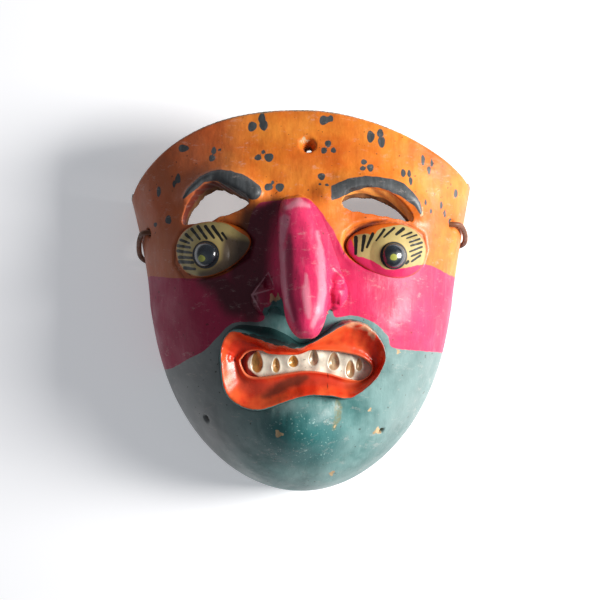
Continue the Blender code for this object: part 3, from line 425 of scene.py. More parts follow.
def relief(x, y):
    """What the carver left standing on the bowl, or hollowed out of it."""
    height = knife_marks(x, y) + chin_grain(x, y) + soft_relief(x, y)
    centre_x, centre_y, radius_x, radius_y, rise = CHIN_BALL
    away = ((x - centre_x) / radius_x) ** 2 + ((y - centre_y) / radius_y) ** 2
    height = height + rise * np.clip(1 - away / 1.35, 0, 1) ** 2.2
    for side, path in BROWS.items():
        inside = stroke_distance(x, y, path)
        height = height + 2.2 * MM * smooth_step((inside + 6.5) / 9)
        height = height + BROW_ROLL[side] * MM * np.sqrt(np.clip((inside + 0.3) / 2.6, 0, 1))
    for side, outline in SOCKETS.items():
        inward = signed_distance(x, y, outline)
        nose_side = smooth_step((abs(EYES[side][0]) + 12 - np.abs(x / MM)) / 24)
        ledge = 0.32 * np.exp(-((inward + 0.9) / 0.9) ** 2)
        height = height - SOCKET_SINK * (0.3 + 0.7 * nose_side) * smooth_step((inward + 0.2) / 1.5)
        height = height + ledge * MM * (0.4 + nose_side)
    return height


def front(x, y):
    """Height of the bowl with its relief."""
    x, y = np.asarray(x, float), np.asarray(y, float)
    return base_height(x, y) + relief(x, y)


def mouth_seat(x, y, height):
    """The shell's relief, sunk where the lips and the teeth are let into it."""
    crest = spline(np.array(LIPS), 120)[:, 2:4]
    sunk = smooth_step((signed_distance(x, y, crest) - 0.8) / 2.5)
    return height + (MOUTH_SEAT - height) * sunk


def normal_at(x, y):
    """The way that the plain bowl faces at a place."""
    step = 2 * MM
    slope_x = (base_height(x + step, y) - base_height(x - step, y)) / (2 * step)
    slope_y = (base_height(x, y + step) - base_height(x, y - step)) / (2 * step)
    return Vector((-slope_x, -slope_y, 1)).normalized()


def even_angles(columns):
    """Angles round the bowl's section from rim to rim, about evenly spaced along its curve."""
    angle = np.linspace(0, math.pi / 2, 200)
    power = 2 / SECTION_POWER
    x, z = np.sin(angle) ** power, 0.8 * np.cos(angle) ** power
    length = np.concatenate([[0], np.cumsum(np.hypot(np.diff(x), np.diff(z)))])
    across = np.linspace(-1, 1, columns + 1)
    return np.sign(across) * np.interp(np.abs(across) * length[-1], length, angle)


def crown_edge(x, across):
    """y of the crown's edge. The sign of x says which side, and across is the share of the half width."""
    middle = (TEMPLE_Y["left"] + TEMPLE_Y["right"]) / 2
    temple = middle + (on_side(x, TEMPLE_Y) - middle) * smooth_step(across)
    return temple + (CROWN_Y - temple) * (1 - across ** on_side(x, CROWN_POWER))


def bowl_grid(columns, rows, inset=0.0):
    """Points of the bowl's front, or of its hollow, as rows from the chin to the crown."""
    chin = CHIN_Y + inset
    heights = np.linspace(chin, CROWN_Y, 400)
    length = np.concatenate([[0], np.cumsum(np.hypot(np.diff(heights), np.diff(midline(heights, inset))))])
    even = np.interp(np.linspace(0, length[-1], rows + 1), length, heights)
    share = (even - chin) / (CROWN_Y - chin)
    angle = even_angles(columns)[None, :]
    edge = crown_edge(angle, np.abs(np.sin(angle)) ** (2 / SECTION_POWER))
    y = chin + share[:, None] * (edge - chin)
    depth = np.maximum(midline(y, inset), 1e-9)
    span = np.clip((y - RIM_LIFT_FROM) / (RIM_LIFT_TO - RIM_LIFT_FROM), 0, 1)
    lift = RIM_LIFT * np.sin(math.pi * span) ** 2
    widest = np.arccos(np.clip(lift / depth, 0, 1) ** (SECTION_POWER / 2))
    angle = angle * widest / (math.pi / 2)
    x = np.sign(angle) * half_width(angle, y, inset) * np.abs(np.sin(angle)) ** (2 / SECTION_POWER)
    z = depth * np.abs(np.cos(angle)) ** (2 / SECTION_POWER)
    z[np.abs(z) < 1e-7] = 0
    fade = smooth_step(z / (20 * MM))
    if inset:
        z = z - gouges(x, y) * fade
    else:
        z = z + mouth_seat(x, y, relief(x, y)) * fade
    return np.stack([x, y, z], axis=2)


def gouges(x, y):
    """The scooped marks of the gouge in the hollow."""
    u, v = x / MM, y / MM
    row = np.floor((v + 0.12 * u) / 8)
    across = np.mod(v + 0.12 * u, 8) / 8
    along = np.mod(u + 6.5 * row, 13) / 13
    return 0.7 * MM * (np.sin(math.pi * across) * np.sin(math.pi * along)) ** 0.7


def stitch(faces, first, second):
    """Triangles between two rows of vertex numbers that run side by side and may differ in length."""
    i = j = 0
    while i < len(first) - 1 or j < len(second) - 1:
        first_share = (i + 1) / (len(first) - 1) if i < len(first) - 1 else 2
        second_share = (j + 1) / (len(second) - 1) if j < len(second) - 1 else 2
        if first_share <= second_share:
            faces.append((first[i], first[i + 1], second[j]))
            i += 1
        else:
            faces.append((first[i], second[j + 1], second[j]))
            j += 1


def sheet_faces(faces, rows, columns, start):
    """Faces of a grid whose first row is one point, the pole, numbered start. Returns its vertex numbers."""
    number = [[start] * (columns + 1)]
    for row in range(rows):
        first = start + 1 + row * (columns + 1)
        number.append(list(range(first, first + columns + 1)))
    for column in range(columns):
        faces.append((start, number[1][column], number[1][column + 1]))
    for row in range(1, rows):
        here, above = number[row], number[row + 1]
        for column in range(columns):
            faces.append((here[column], here[column + 1], above[column + 1], above[column]))
    return number


def ring_faces(first, second, count):
    """Faces between two closed rows of count vertices."""
    found = []
    for index in range(count):
        after = (index + 1) % count
        found.append((first + index, first + after, second + after, second + index))
    return found


def stack_faces(start, layers, count):
    """Faces between the closed rows of a stack, each of count vertices."""
    found = []
    for layer in range(layers - 1):
        found += ring_faces(start + layer * count, start + (layer + 1) * count, count)
    return found


def at_height(outline, z):
    """A ring over an outline in x and y, with one height or a height for each of its points."""
    return np.column_stack([outline, np.broadcast_to(z, len(outline))])


def skin(rings, start=0, looped=False):
    """Points and faces of a skin over a stack of rings, whose ends are capped or, if looped, joined."""
    points, sides = np.vstack(rings), len(rings[0])
    last = start + len(points) - sides
    faces = stack_faces(start, len(rings), sides)
    if looped:
        return points, faces + ring_faces(last, start, sides)
    return points, faces + [tuple(range(start, start + sides)), tuple(range(last, last + sides))]


def grid_faces(rows, columns, start=0):
    """Faces of a plain grid of vertices with columns + 1 in each of its rows + 1 rows."""
    found = []
    for row in range(rows):
        for column in range(columns):
            corner = start + row * (columns + 1) + column
            found.append((corner, corner + 1, corner + columns + 2, corner + columns + 1))
    return found


def add_mesh(name, points, faces):
    """One mesh object with its faces turned outwards."""
    mesh = bpy.data.meshes.new(name)
    mesh.from_pydata(np.asarray(points, float).tolist(), [], faces)
    shape = bmesh.new()
    shape.from_mesh(mesh)
    bmesh.ops.recalc_face_normals(shape, faces=shape.faces)
    shape.to_mesh(mesh)
    shape.free()
    mesh.shade_smooth()
    made = bpy.data.objects.new(name, mesh)
    bpy.context.scene.collection.objects.link(made)
    return made


def settle(piece):
    """Makes what a piece's modifiers do permanent."""
    changed = bpy.data.meshes.new_from_object(piece.evaluated_get(bpy.context.evaluated_depsgraph_get()))
    piece.modifiers.clear()
    piece.data = changed


def cut(piece, cutters):
    """Takes the cutters out of a piece."""
    for cutter in cutters:
        change = piece.modifiers.new(cutter.name, "BOOLEAN")
        change.operation = "DIFFERENCE"
        change.object = cutter
        change.solver = "EXACT"
    settle(piece)
    for cutter in cutters:
        bpy.data.objects.remove(cutter)


def places(piece):
    """x, y and z of a piece's vertices."""
    flat = np.empty(len(piece.data.vertices) * 3)
    piece.data.vertices.foreach_get("co", flat)
    return flat.reshape(-1, 3).T


def move(piece, points):
    """Puts a piece's vertices at new places, given as rows of x, y and z."""
    piece.data.vertices.foreach_set("co", np.ascontiguousarray(points.T).ravel())
    piece.data.update()


def normals(piece):
    """x, y and z of the normals at a piece's vertices."""
    flat = np.empty(len(piece.data.vertices) * 3)
    piece.data.vertex_normals.foreach_get("vector", flat)
    return flat.reshape(-1, 3).T


def store(piece, **fields):
    """Keeps a number for each vertex, for the material to read. A lone number stands for all of them."""
    for name, values in fields.items():
        kept = piece.data.attributes.new(name, "FLOAT", "POINT")
        values = np.broadcast_to(values, len(piece.data.vertices))
        kept.data.foreach_set("value", np.clip(values, -50, 50).astype(np.float32))


def store_face(piece, **fields):
    """Keeps the fields that face_paint reads. One that isn't named is nowhere on the piece."""
    names = ("dark", "ball", "drip", "shade", "line", "crease", "pale", "maroon")
    store(piece, **{**dict.fromkeys(names, NOWHERE), **fields})


def finish_piece(piece, node, finish):
    """Gives a piece its material, hides the CAD solid that it stands for and hangs it under the root body."""
    piece.data.materials.clear()
    piece.data.materials.append(finish)
    piece.data.polygons.foreach_set("material_index", np.zeros(len(piece.data.polygons), np.int32))
    piece.data.shade_smooth()
    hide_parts(node)
    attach(piece, "root")


def add_rod(name, start, end, radius, end_radius):
    """A round rod or cone between two points, as a cutter."""
    start, end = Vector(start), Vector(end)
    shape = bmesh.new()
    bmesh.ops.create_cone(
        shape, cap_ends=True, segments=40, radius1=radius, radius2=end_radius, depth=(end - start).length,
    )
    turn = Vector((0, 0, 1)).rotation_difference(end - start)
    points = [tuple(turn @ vert.co + (start + end) / 2) for vert in shape.verts]
    faces = [tuple(vert.index for vert in face.verts) for face in shape.faces]
    shape.free()
    return add_mesh(name, points, faces)


def slot_cutter(side):
    """A slanting cutter for one eye slot, with the waver of a whittled wall."""
    outline = spline(np.array(SLOTS[side]) * MM, 90)
    middle = outline.mean(axis=0)
    height = float(front(*middle))
    toward_nose = -math.copysign(SLOT_LEAN["toward nose"], middle[0])
    rings = []
    for index, rise in enumerate(np.linspace(CUTTER_ABOVE, -CUTTER_BELOW, 42)):
        lean = np.array([-rise * toward_nose, rise * SLOT_LEAN[side]])
        whittle = 0.25 * MM * np.sin(5 * index + np.arange(len(outline)) * 0.9)
        ring = outline + lean + np.outer(whittle, (0, 1))
        rings.append(at_height(ring, height + rise))
    return add_mesh(side + "_slot_cutter", *skin(rings))


def hole_cutters():
    """A cutter for each drilled hole. The hanging hole is opened out with the knife at the front."""
    cutters = []
    for index, (x, y, radius) in enumerate([HANG_HOLE, *JAW_HOLES]):
        x, y, radius = x * MM, y * MM, radius * MM
        way = normal_at(x, y)
        place = Vector((x, y, float(front(x, y))))
        start, end = place + way * 9 * MM, place - way * 22 * MM
        cutters.append(add_rod(f"hole_cutter_{index}", start, end, radius, radius))
        if index == 0:
            wide, narrow, deep = (measure * MM for measure in HOLE_MOUTH)
            mouth = place + way * 1 * MM + Vector((-0.8, 0.9, 0)) * MM
            cutters.append(add_rod("hole_mouth_cutter", mouth, place - way * deep, wide, narrow))
    radius = TIE_HOLE_RADIUS * MM
    for side, (y, z) in TIE_HOLES.items():
        way = -1 if side == "left" else 1
        start, end = (way * 55 * MM, y * MM, z * MM), (way * 98 * MM, y * MM, z * MM)
        cutters.append(add_rod(side + "_tie_cutter", start, end, radius, radius))
    return cutters


def soften_edges(piece):
    """Rounds the arrises that the cutters left, near the slots' edges."""
    shape = bmesh.new()
    shape.from_mesh(piece.data)
    edges = [edge for edge in shape.edges if len(edge.link_faces) == 2 and edge.calc_face_angle(0) > 0.6]
    near = {vert for edge in edges for vert in edge.verts if vert.co.z > 22 * MM}
    close = [(vert, edge) for vert in near for edge in vert.link_edges if edge.calc_length() < 3 * MM]
    near |= {edge.other_vert(vert) for vert, edge in close}
    for _ in range(3):
        bmesh.ops.smooth_vert(
            shape, verts=list(near), factor=0.4, use_axis_x=True, use_axis_y=True, use_axis_z=True,
        )
    shape.to_mesh(piece.data)
    shape.free()


def add_shell(finish):
    """The carved shell: a front and a hollow joined round the rim, with its openings cut through."""
    columns, rows, hollow_columns, hollow_rows = 290, 250, 110, 86
    faces = []
    outer = bowl_grid(columns, rows)
    inner = bowl_grid(hollow_columns, hollow_rows, WALL)
    outer_points = np.vstack([outer[0, :1], outer[1:].reshape(-1, 3)])
    inner_points = np.vstack([inner[0, :1], inner[1:].reshape(-1, 3)])
    outside = sheet_faces(faces, rows, columns, 0)
    front_tree = BVHTree.FromPolygons(outer_points.tolist(), faces)
    inside = sheet_faces(faces, hollow_rows, hollow_columns, len(outer_points))
    for side in (0, -1):
        stitch(faces, [row[side] for row in outside], [row[side] for row in inside])
    stitch(faces, outside[-1], inside[-1])
    shell = add_mesh("shell", np.vstack([outer_points, inner_points]), faces)
    cut(shell, [slot_cutter("left"), slot_cutter("right"), *hole_cutters()])
    soften_edges(shell)
    x, y, z = places(shell)
    deep = np.array([front_tree.find_nearest(point)[3] for point in zip(x, y, z)]) / MM
    across = np.clip(np.abs(x) / half_width(x, y), 0, 1)
    dark = np.maximum(dab_distance(x, y, SPOTS, 0.07) + 0.1, stroke_distance(x, y, BROWS["left"]))
    dark = np.maximum(dark, np.minimum(stroke_distance(x, y, BROWS["right"]), x / MM - BROW_END))
    # painted shade along the crease just inside each socket's ledge
    creases = [0.8 - np.abs(signed_distance(x, y, SOCKETS[side]) - 0.9) for side in SOCKETS]
    crown = (crown_edge(x, across) - y) / MM
    store_face(
        shell, orange=field_distance(x, y, ORANGE), teal=field_distance(x, y, TEAL), dark=dark, deep=deep,
        # painted shadow of the nose, and under the left eye
        dirt=np.maximum(stroke_distance(x, y, DIRT), stroke_distance(x, y, UNDER_EYE)), left=-x / MM,
        ball=dab_distance(x, y, [CHIN_SHEEN]), drip=stroke_distance(x, y, DRIP),
        shade=stroke_distance(x, y, SOCKET_SHADE), rim=np.minimum(crown, z / MM * 2 + 0.5),
        chip=dab_distance(x, y, CHIPS, 0.35), crack=line_distance(x, y, CRACKS, 0.25, 0.1),
        crease=np.max(creases, axis=0),
    )
    finish_piece(shell, "face_shell", finish)


def foot_top(x, y, share):
    """The nose's flared foot. share is 0 in its middle and 1 at its edge, which dips into the shell."""
    ridge = np.array(RIDGE)[::-1] * MM
    middle = np.interp(y, ridge[:, 1], ridge[:, 0])
    top = np.interp(y, ridge[:, 1], ridge[:, 2])
    width = np.interp(y, ridge[:, 1], ridge[:, 3])
    base = front(x, y)
    rise = NOSE_FILLET * np.clip(top + 0.8 * width - base, 0, None)
    across = (x - middle) / (NOSE_FILLET_WIDTH * width / width.max())
    inside = 1 - share**5
    return base + (0.7 * MM + rise * np.exp(-across**2)) * inside - 0.7 * MM * (1 - inside)


def add_nose_solid():
    """The foot, the ridge and the wings, melted into one skin."""
    foot = spline(np.array(NOSE_FOOT) * MM, 120)
    centre = foot.mean(axis=0)
    shares = np.sin(np.linspace(0.02, 1, 50) * math.pi / 2)
    outlines = [centre + share * (foot - centre) for share in shares]
    top = [at_height(outline, foot_top(*outline.T, share)) for outline, share in zip(outlines, shares)]
    back = [at_height(outline, base_height(*outline.T) - 5 * MM) for outline in outlines]
    points, faces = skin(top + back[::-1])

    turn = np.linspace(0, 2 * math.pi, 60, endpoint=False)
    rings = []
    for x, y, z, wide, high in spline(np.array(RIDGE) * MM, 70, closed=False):
        rings.append(np.column_stack([x + wide * np.cos(turn), np.full(60, y), z + high * np.sin(turn)]))
    ridge_points, ridge_faces = skin(rings, len(points))
    points, faces = [*points, *ridge_points], faces + ridge_faces

    for wing, radii in WINGS:
        shape = bmesh.new()
        bmesh.ops.create_uvsphere(shape, u_segments=40, v_segments=24, radius=1)
        start = len(points)
        points += [[(c + r * v) * MM for c, r, v in zip(wing, radii, vert.co)] for vert in shape.verts]
        faces += [tuple(start + vert.index for vert in face.verts) for face in shape.faces]
        shape.free()
    nose = add_mesh("nose_skin", points, faces)
    melt = nose.modifiers.new("melt", "REMESH")
    melt.mode = "VOXEL"
    melt.voxel_size = NOSE_GRAIN
    even = nose.modifiers.new("even", "SMOOTH")
    even.factor = 0.5
    even.iterations = 11
    settle(nose)
    return nose


def add_nose(finish):
    """The nose, with its wings, nostrils and creases pushed in from its surface."""
    nose = add_nose_solid()
    x, y, z = places(nose)
    nx, ny, nz = normals(nose)
    u, v, w = x / MM, y / MM, z / MM
    push = 0.12 * np.sin(0.9 * u + 0.06 * v) * np.sin(0.13 * v + 1) + 0.1 * np.sin(0.5 * v + 0.3 * u)
    for centre_x, centre_y, centre_z, radius in NOSTRILS:
        away = np.hypot(u - centre_x, v - centre_y) / radius
        push -= 2.6 * np.clip(1 - away**2, 0, 1) ** 0.8 * smooth_step((centre_z + 9 - w) / 4)
    flank = smooth_step((WING_TOP - w) / 4)
    for centre_x, centre_y, half_x, half_y, depth in WING_NOTCHES:
        away = np.maximum(np.abs(u - centre_x) / half_x, np.abs(v - centre_y) / half_y)
        push -= depth * smooth_step((1.25 - away) / 0.5) * flank
    for crease in WING_CREASES:
        push += 0.5 * smooth_step((line_distance(x, y, [crease], 0.2, 0.1) + 0.9) / 1.1) * flank
    move(nose, np.array([x, y, z]) + push * MM * np.array([nx, ny, nz]))
    x, y, z = places(nose)
    under = signed_distance(x, y, NOSE_UNDERSIDE)
    low = UNDERSIDE_TOP - z / MM
    streaks = np.max([stroke_distance(x, y, path) for path in PALE_STREAKS], axis=0)
    store_face(
        nose, orange=field_distance(x, y, ORANGE), teal=np.minimum(under, low), deep=0, left=0, rim=30,
        # painted shadow of the nose on its own low left flank
        dirt=np.minimum(stroke_distance(x, y, DIRT), low), line=line_distance(x, y, WING_CREASES, 0.3, 0.2),
        # painted light in the nostrils, drawn like the chips to bare wood
        chip=dab_distance(x, y, NOSE_CHIPS, 0.3), crack=line_distance(x, y, CRACKS[-1:], 0.25, 0.1),
        # painted highlights down the ridge
        pale=np.where(z > PALE_FROM, streaks, NOWHERE),
        maroon=np.where(z > MAROON_FROM, stroke_distance(x, y, MAROON_STREAK), NOWHERE),
    )
    finish_piece(nose, "nose", finish)


def eye_shape(side):
    """The eye's outline, and its height as a function of x and y."""
    middle_x, middle_y, half_length, half_height, turn, pupil_at, _ = EYES[side]
    centre = np.array([middle_x, middle_y]) * MM
    turn = math.radians(turn)
    angle = np.linspace(0, 2 * math.pi, 200, endpoint=False)
    narrow = 1 + math.copysign(EYE_TAPER, middle_x) * np.cos(angle)
    u, v = half_length * np.cos(angle) * MM, half_height * np.sin(angle) * narrow * MM
    outline = centre + np.stack(
        [u * math.cos(turn) - v * math.sin(turn), u * math.sin(turn) + v * math.cos(turn)], axis=1
    )

    def height(x, y):
        u = ((x - centre[0]) * math.cos(turn) + (y - centre[1]) * math.sin(turn)) / (half_length * MM)
        v = ((y - centre[1]) * math.cos(turn) - (x - centre[0]) * math.sin(turn)) / (half_height * MM)
        v = v / (1 + math.copysign(EYE_TAPER, middle_x) * np.clip(u, -1, 1))
        rise = np.sqrt(np.clip(1 - u**2 - v**2, 0, 1))
        ball = np.hypot(x / MM - pupil_at[0], y / MM - pupil_at[1]) / EYE_BALL_RADIUS
        plate = EYE_EDGE + (EYE_PLATE - EYE_EDGE) * rise
        base = base_height(x, y) + soft_relief(x, y)
        return base + plate + EYE_BALL * np.clip(1 - ball**2, 0, 1) ** 1.1 * np.clip(rise * 1.6, 0, 1)

    return centre, outline, height


def lash_distance(x, y, side, taper):
    """Distance to the nearest lash, whose inner end is narrower by taper."""
    found = [line_distance(x, y, [ends], wide, taper * wide) for *ends, wide in LASHES[side]]
    return np.max(found, axis=0)


def add_eye(side, finish):
    """An eye, as a stack of ever larger rings and a side wall that goes down into its socket."""
    centre, outline, height = eye_shape(side)
    shares = np.concatenate([np.linspace(0.01, 0.9, 62), np.linspace(0.91, 1, 14)])
    rings = []
    for share in shares:
        ring = centre + share * (outline - centre)
        groove = LASH_GROOVE * smooth_step((lash_distance(*ring.T, side, 0.7) + 0.3) / 0.5)
        rings.append(at_height(ring, height(*ring.T) - groove))
    wall = ((0.5, 1.008), (1.2, 1.01), (5.5, 1.0))
    for drop, grow in wall:
        rings.append(at_height(centre + grow * (outline - centre), height(*outline.T) - drop * MM))
    eye = add_mesh(side + "_eye_skin", *skin(rings))
    x, y, _ = places(eye)
    edge = np.repeat([*(1 - shares) * EYE_RADIUS, *[0] * len(wall)], len(outline))
    pupil_at = EYES[side][5]
    around = np.hypot(x / MM - pupil_at[0], y / MM - pupil_at[1]) - PUPIL_RADIUS / MM
    store(
        eye, orange=field_distance(x, y, EYE_ORANGE[side]), cream=field_distance(x, y, CREAM[side]),
        shade=signed_distance(x, y, EYE_SHADE) if side == "left" else NOWHERE,
        lash=lash_distance(x, y, side, 0.6) + 0.2, edge=edge, around=around,
    )
    finish_piece(eye, side + "_eye", finish)
    return height


def add_pupil(side, dome, finish):
    """A low glossy stud on the eye's ball, turned square to it."""
    centre = np.array(EYES[side][5]) * MM
    dot = EYES[side][6]
    angle = np.linspace(0, 2 * math.pi, 64, endpoint=False)
    reach = PUPIL_RADIUS * (1 + 0.02 * np.sin(3 * angle + 1))
    circle = np.column_stack([reach * np.cos(angle), reach * np.sin(angle)])
    shares = np.sin(np.linspace(0.01, 1, 24) * math.pi / 2)
    rises = -PUPIL_LET_IN + 1 * MM + PUPIL_HEIGHT * np.sqrt(1 - shares**2)
    rings = [at_height(share * circle, rise) for share, rise in zip(shares, rises)]
    points, faces = skin([*rings, at_height(circle, -PUPIL_LET_IN)])
    step = 3 * MM
    slope = []
    for shift in np.eye(2) * step:
        slope.append(float(dome(*(centre + shift)) - dome(*(centre - shift))) / (2 * step))
    turn = Vector((0, 0, 1)).rotation_difference(Vector((-slope[0], -slope[1], 1)).normalized())
    place = Vector((*centre, float(dome(*centre))))
    points = [tuple(turn @ Vector(point) + place) for point in points]
    pupil = add_mesh(side + "_pupil_skin", points, faces)
    x, y, _ = places(pupil)
    store(pupil, dot=dab_distance(x, y, [(*dot, 1.7, 1.5)]), wet=dab_distance(x, y, [(*dot, 4, 3.4)]))
    finish_piece(pupil, side + "_pupil", finish)


def add_lips(finish):
    """The flared ring of the lips: a red slope up to its crest, and a teal wall down to the face."""
    rows = spline(np.array(LIPS) * MM, LIP_STATIONS)
    foot, crest, inner = rows[:, :2], rows[:, 2:4], rows[:, 4:]
    turn = np.linspace(0, 2 * math.pi, LIP_STATIONS, endpoint=False)
    section = spline(LIP_SECTION, 40, closed=False)
    rings, over, share_of = [], [], []
    for share, rise in section:
        ring = inner + share * (crest - inner)
        span = np.hypot(*(crest - inner).T) / MM
        rough = 0.25 * np.sin(9 * turn + 5 * share) * np.sin(math.pi * np.clip(share, 0, 1))
        rough += 0.14 * np.sin(31 * turn + 3 * np.sin(4 * turn)) * share
        fold = 0.35 * np.sin(14 * share + 2 * np.sin(3 * turn)) * np.exp(-(turn / 0.35) ** 2)
        height = (rise + (rough + fold) * (1 if rise > 0 else 0)) * MM
        rings.append(at_height(ring, base_height(*ring.T) + height))
        over += list((share - 1) * span)
        share_of += [share] * LIP_STATIONS
    wall = np.hypot(*(foot - crest).T) / MM
    for part, drop in ((0.12, 0.02), (0.3, 0.12), (0.5, 0.3), (0.7, 0.55), (0.88, 0.85), (1, 1), (1, 1.15)):
        ring = crest + part * (foot - crest)
        rise = LIP_SECTION[-1][1] * (1 - drop)
        height = (rise + 0.18 * np.sin(23 * turn + 4 * part) * (1 - part)) * MM
        rings.append(at_height(ring, base_height(*ring.T) + height))
        over += list(np.maximum(part * wall, 0.1 + 1.2 * drop * 8))
        share_of += [1 + part] * LIP_STATIONS
    lips = add_mesh("lips_skin", *skin(rings, looped=True))
    x, y, _ = places(lips)
    store(
        # painted shadow along the upper lip's crest at the left
        lips, soot=stroke_distance(x, y, SOOT), smear=stroke_distance(x, y, LIP_SMEAR), below=-26 - y / MM,
        over=np.array(over), share=np.array(share_of), chip=dab_distance(x, y, LIP_WEAR, 0.2),
        crack=line_distance(x, y, CRACKS[1:2], 0.25, 0.2),
    )
    finish_piece(lips, "lips", finish)


def mouth_band(columns, margin):
    """Lower and upper y of the mouth's opening over even steps of x, made larger by margin."""
    inner = spline(np.array(LIPS) * MM, LIP_STATIONS)[:, 4:]
    left, right = np.argmin(inner[:, 0]), np.argmax(inner[:, 0])
    upper = np.roll(inner, -left, axis=0)[: (right - left) % len(inner) + 1]
    lower = np.roll(inner, -right, axis=0)[: (left - right) % len(inner) + 1][::-1]
    x = np.linspace(TEETH_FROM - margin, TEETH_TO + margin, columns + 1)
    low, high = np.interp(x, lower[:, 0], lower[:, 1]), np.interp(x, upper[:, 0], upper[:, 1])
    return x, low - margin, high + margin


def add_teeth(finish):
    """The strip of teeth, with the gouged hollows between them."""
    columns, rows = 330, 56
    x, low, high = mouth_band(columns, TEETH_HIDDEN)
    points, hollow, tint, lean = [], [], [], []
    for share in np.linspace(0, 1, rows + 1):
        y = low + share * (high - low)
        inside = np.full(x.shape, NOWHERE)
        stain = np.zeros(x.shape)
        leaning = np.zeros(x.shape)
        for centre, middle, half_x, half_y, ochre in TOOTH_HOLLOWS:
            centre_y = np.interp(centre * MM, x, low + middle * (high - low)) / MM
            narrow = 1 - 0.25 * np.clip((y / MM - centre_y) / half_y, -1, 1)
            reach = np.hypot((x / MM - centre) / (half_x * narrow), (y / MM - centre_y) / half_y)
            nearer = (1 - reach) * half_x > inside
            stain = np.where(nearer, ochre, stain)
            leaning = np.where(nearer, np.clip((x / MM - centre) / half_x, -1, 1), leaning)
            inside = np.maximum(inside, (1 - reach) * half_x)
        scoop = TOOTH_HOLLOW_DEPTH * np.clip(inside / 1.6, 0, 1) ** (0.75 + 0.35 * leaning)
        lip = 0.06 * MM * np.exp(-((inside + 0.35) / 0.4) ** 2)
        bulge = 0.16 * MM * np.sin(x / MM * 0.9 + 0.5)
        bulge += 0.08 * MM * np.sin(x / MM * 0.7) * np.sin(y / MM * 0.9)
        bulge -= 2 * MM * smooth_step((TOOTH_END * MM - x) / (3 * MM))
        z = base_height(x, y) + TEETH_FRONT - scoop + lip + bulge
        points += list(zip(x, y, z))
        hollow += list(inside)
        tint += list(stain)
        lean += list(leaning)
    wide = columns + 1
    half = wide * (rows + 1)
    for share in np.linspace(0, 1, rows + 1):
        y = low + share * (high - low)
        points += list(zip(x, y, base_height(x, y) - TEETH_LET_IN))
    faces = grid_faces(rows, columns) + grid_faces(rows, columns, half)
    edge = list(range(wide)) + [row * wide + columns for row in range(1, rows + 1)]
    edge += [rows * wide + column for column in range(columns - 1, -1, -1)]
    edge += [row * wide for row in range(rows - 1, 0, -1)]
    for index, corner in enumerate(edge):
        after = edge[(index + 1) % len(edge)]
        faces.append((corner, after, after + half, corner + half))
    teeth = add_mesh("teeth_skin", points, faces)
    x, y, _ = places(teeth)
    store(
        teeth, hollow=hollow + [NOWHERE] * half, tint=tint + [0] * half, side=lean + [0] * half,
        # painted shadow at the strip's left end
        gum=TOOTH_END - x / MM + 0.14 * (y / MM + 27.3) ** 2,
    )
    finish_piece(teeth, "teeth", finish)


def add_knot(side, finish):
    """An overhand knot drawn tight: a tube that runs round as a trefoil."""
    turn = np.linspace(0, 2 * math.pi, 150, endpoint=False)
    out = 1.35 + 0.75 * np.cos(3 * turn)
    line = np.stack([0.8 * np.sin(3 * turn), out * np.cos(2 * turn), out * np.sin(2 * turn)], axis=1)
    line = (line * 0.92 + np.array(KNOTS[side])) * MM
    along = np.roll(line, -1, axis=0) - np.roll(line, 1, axis=0)
    along /= np.linalg.norm(along, axis=1)[:, None]
    side_way = np.cross(along, np.array([1.0, 0.2, 0.1]))
    side_way /= np.linalg.norm(side_way, axis=1)[:, None]
    other_way = np.cross(along, side_way)
    angle = np.linspace(0, 2 * math.pi, 14, endpoint=False)
    rings = []
    for place, first, second in zip(line, side_way, other_way):
        rings.append(place + KNOT_STRAND * (np.outer(np.cos(angle), first) + np.outer(np.sin(angle), second)))
    knot = add_mesh(side + "_knot_skin", *skin(rings, looped=True))
    finish_piece(knot, side + "_knot", finish)
    return knot


def add_thong(finish, knots):
    """The leather thong, from knot to knot."""
    curve = bpy.data.curves.new("thong_skin", "CURVE")
    curve.dimensions = "3D"
    curve.bevel_depth = THONG_RADIUS
    curve.bevel_resolution = 5
    curve.use_fill_caps = True
    route = spline(np.array(THONG) * MM, 180, closed=False)
    line = curve.splines.new("POLY")
    line.points.add(len(route) - 1)
    for point, place in zip(line.points, route):
        point.co = (*place, 1)
    line.use_smooth = True
    curve.materials.append(finish)
    thong = bpy.data.objects.new("thong_skin", curve)
    bpy.context.scene.collection.objects.link(thong)
    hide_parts("thong")
    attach(thong, "root")


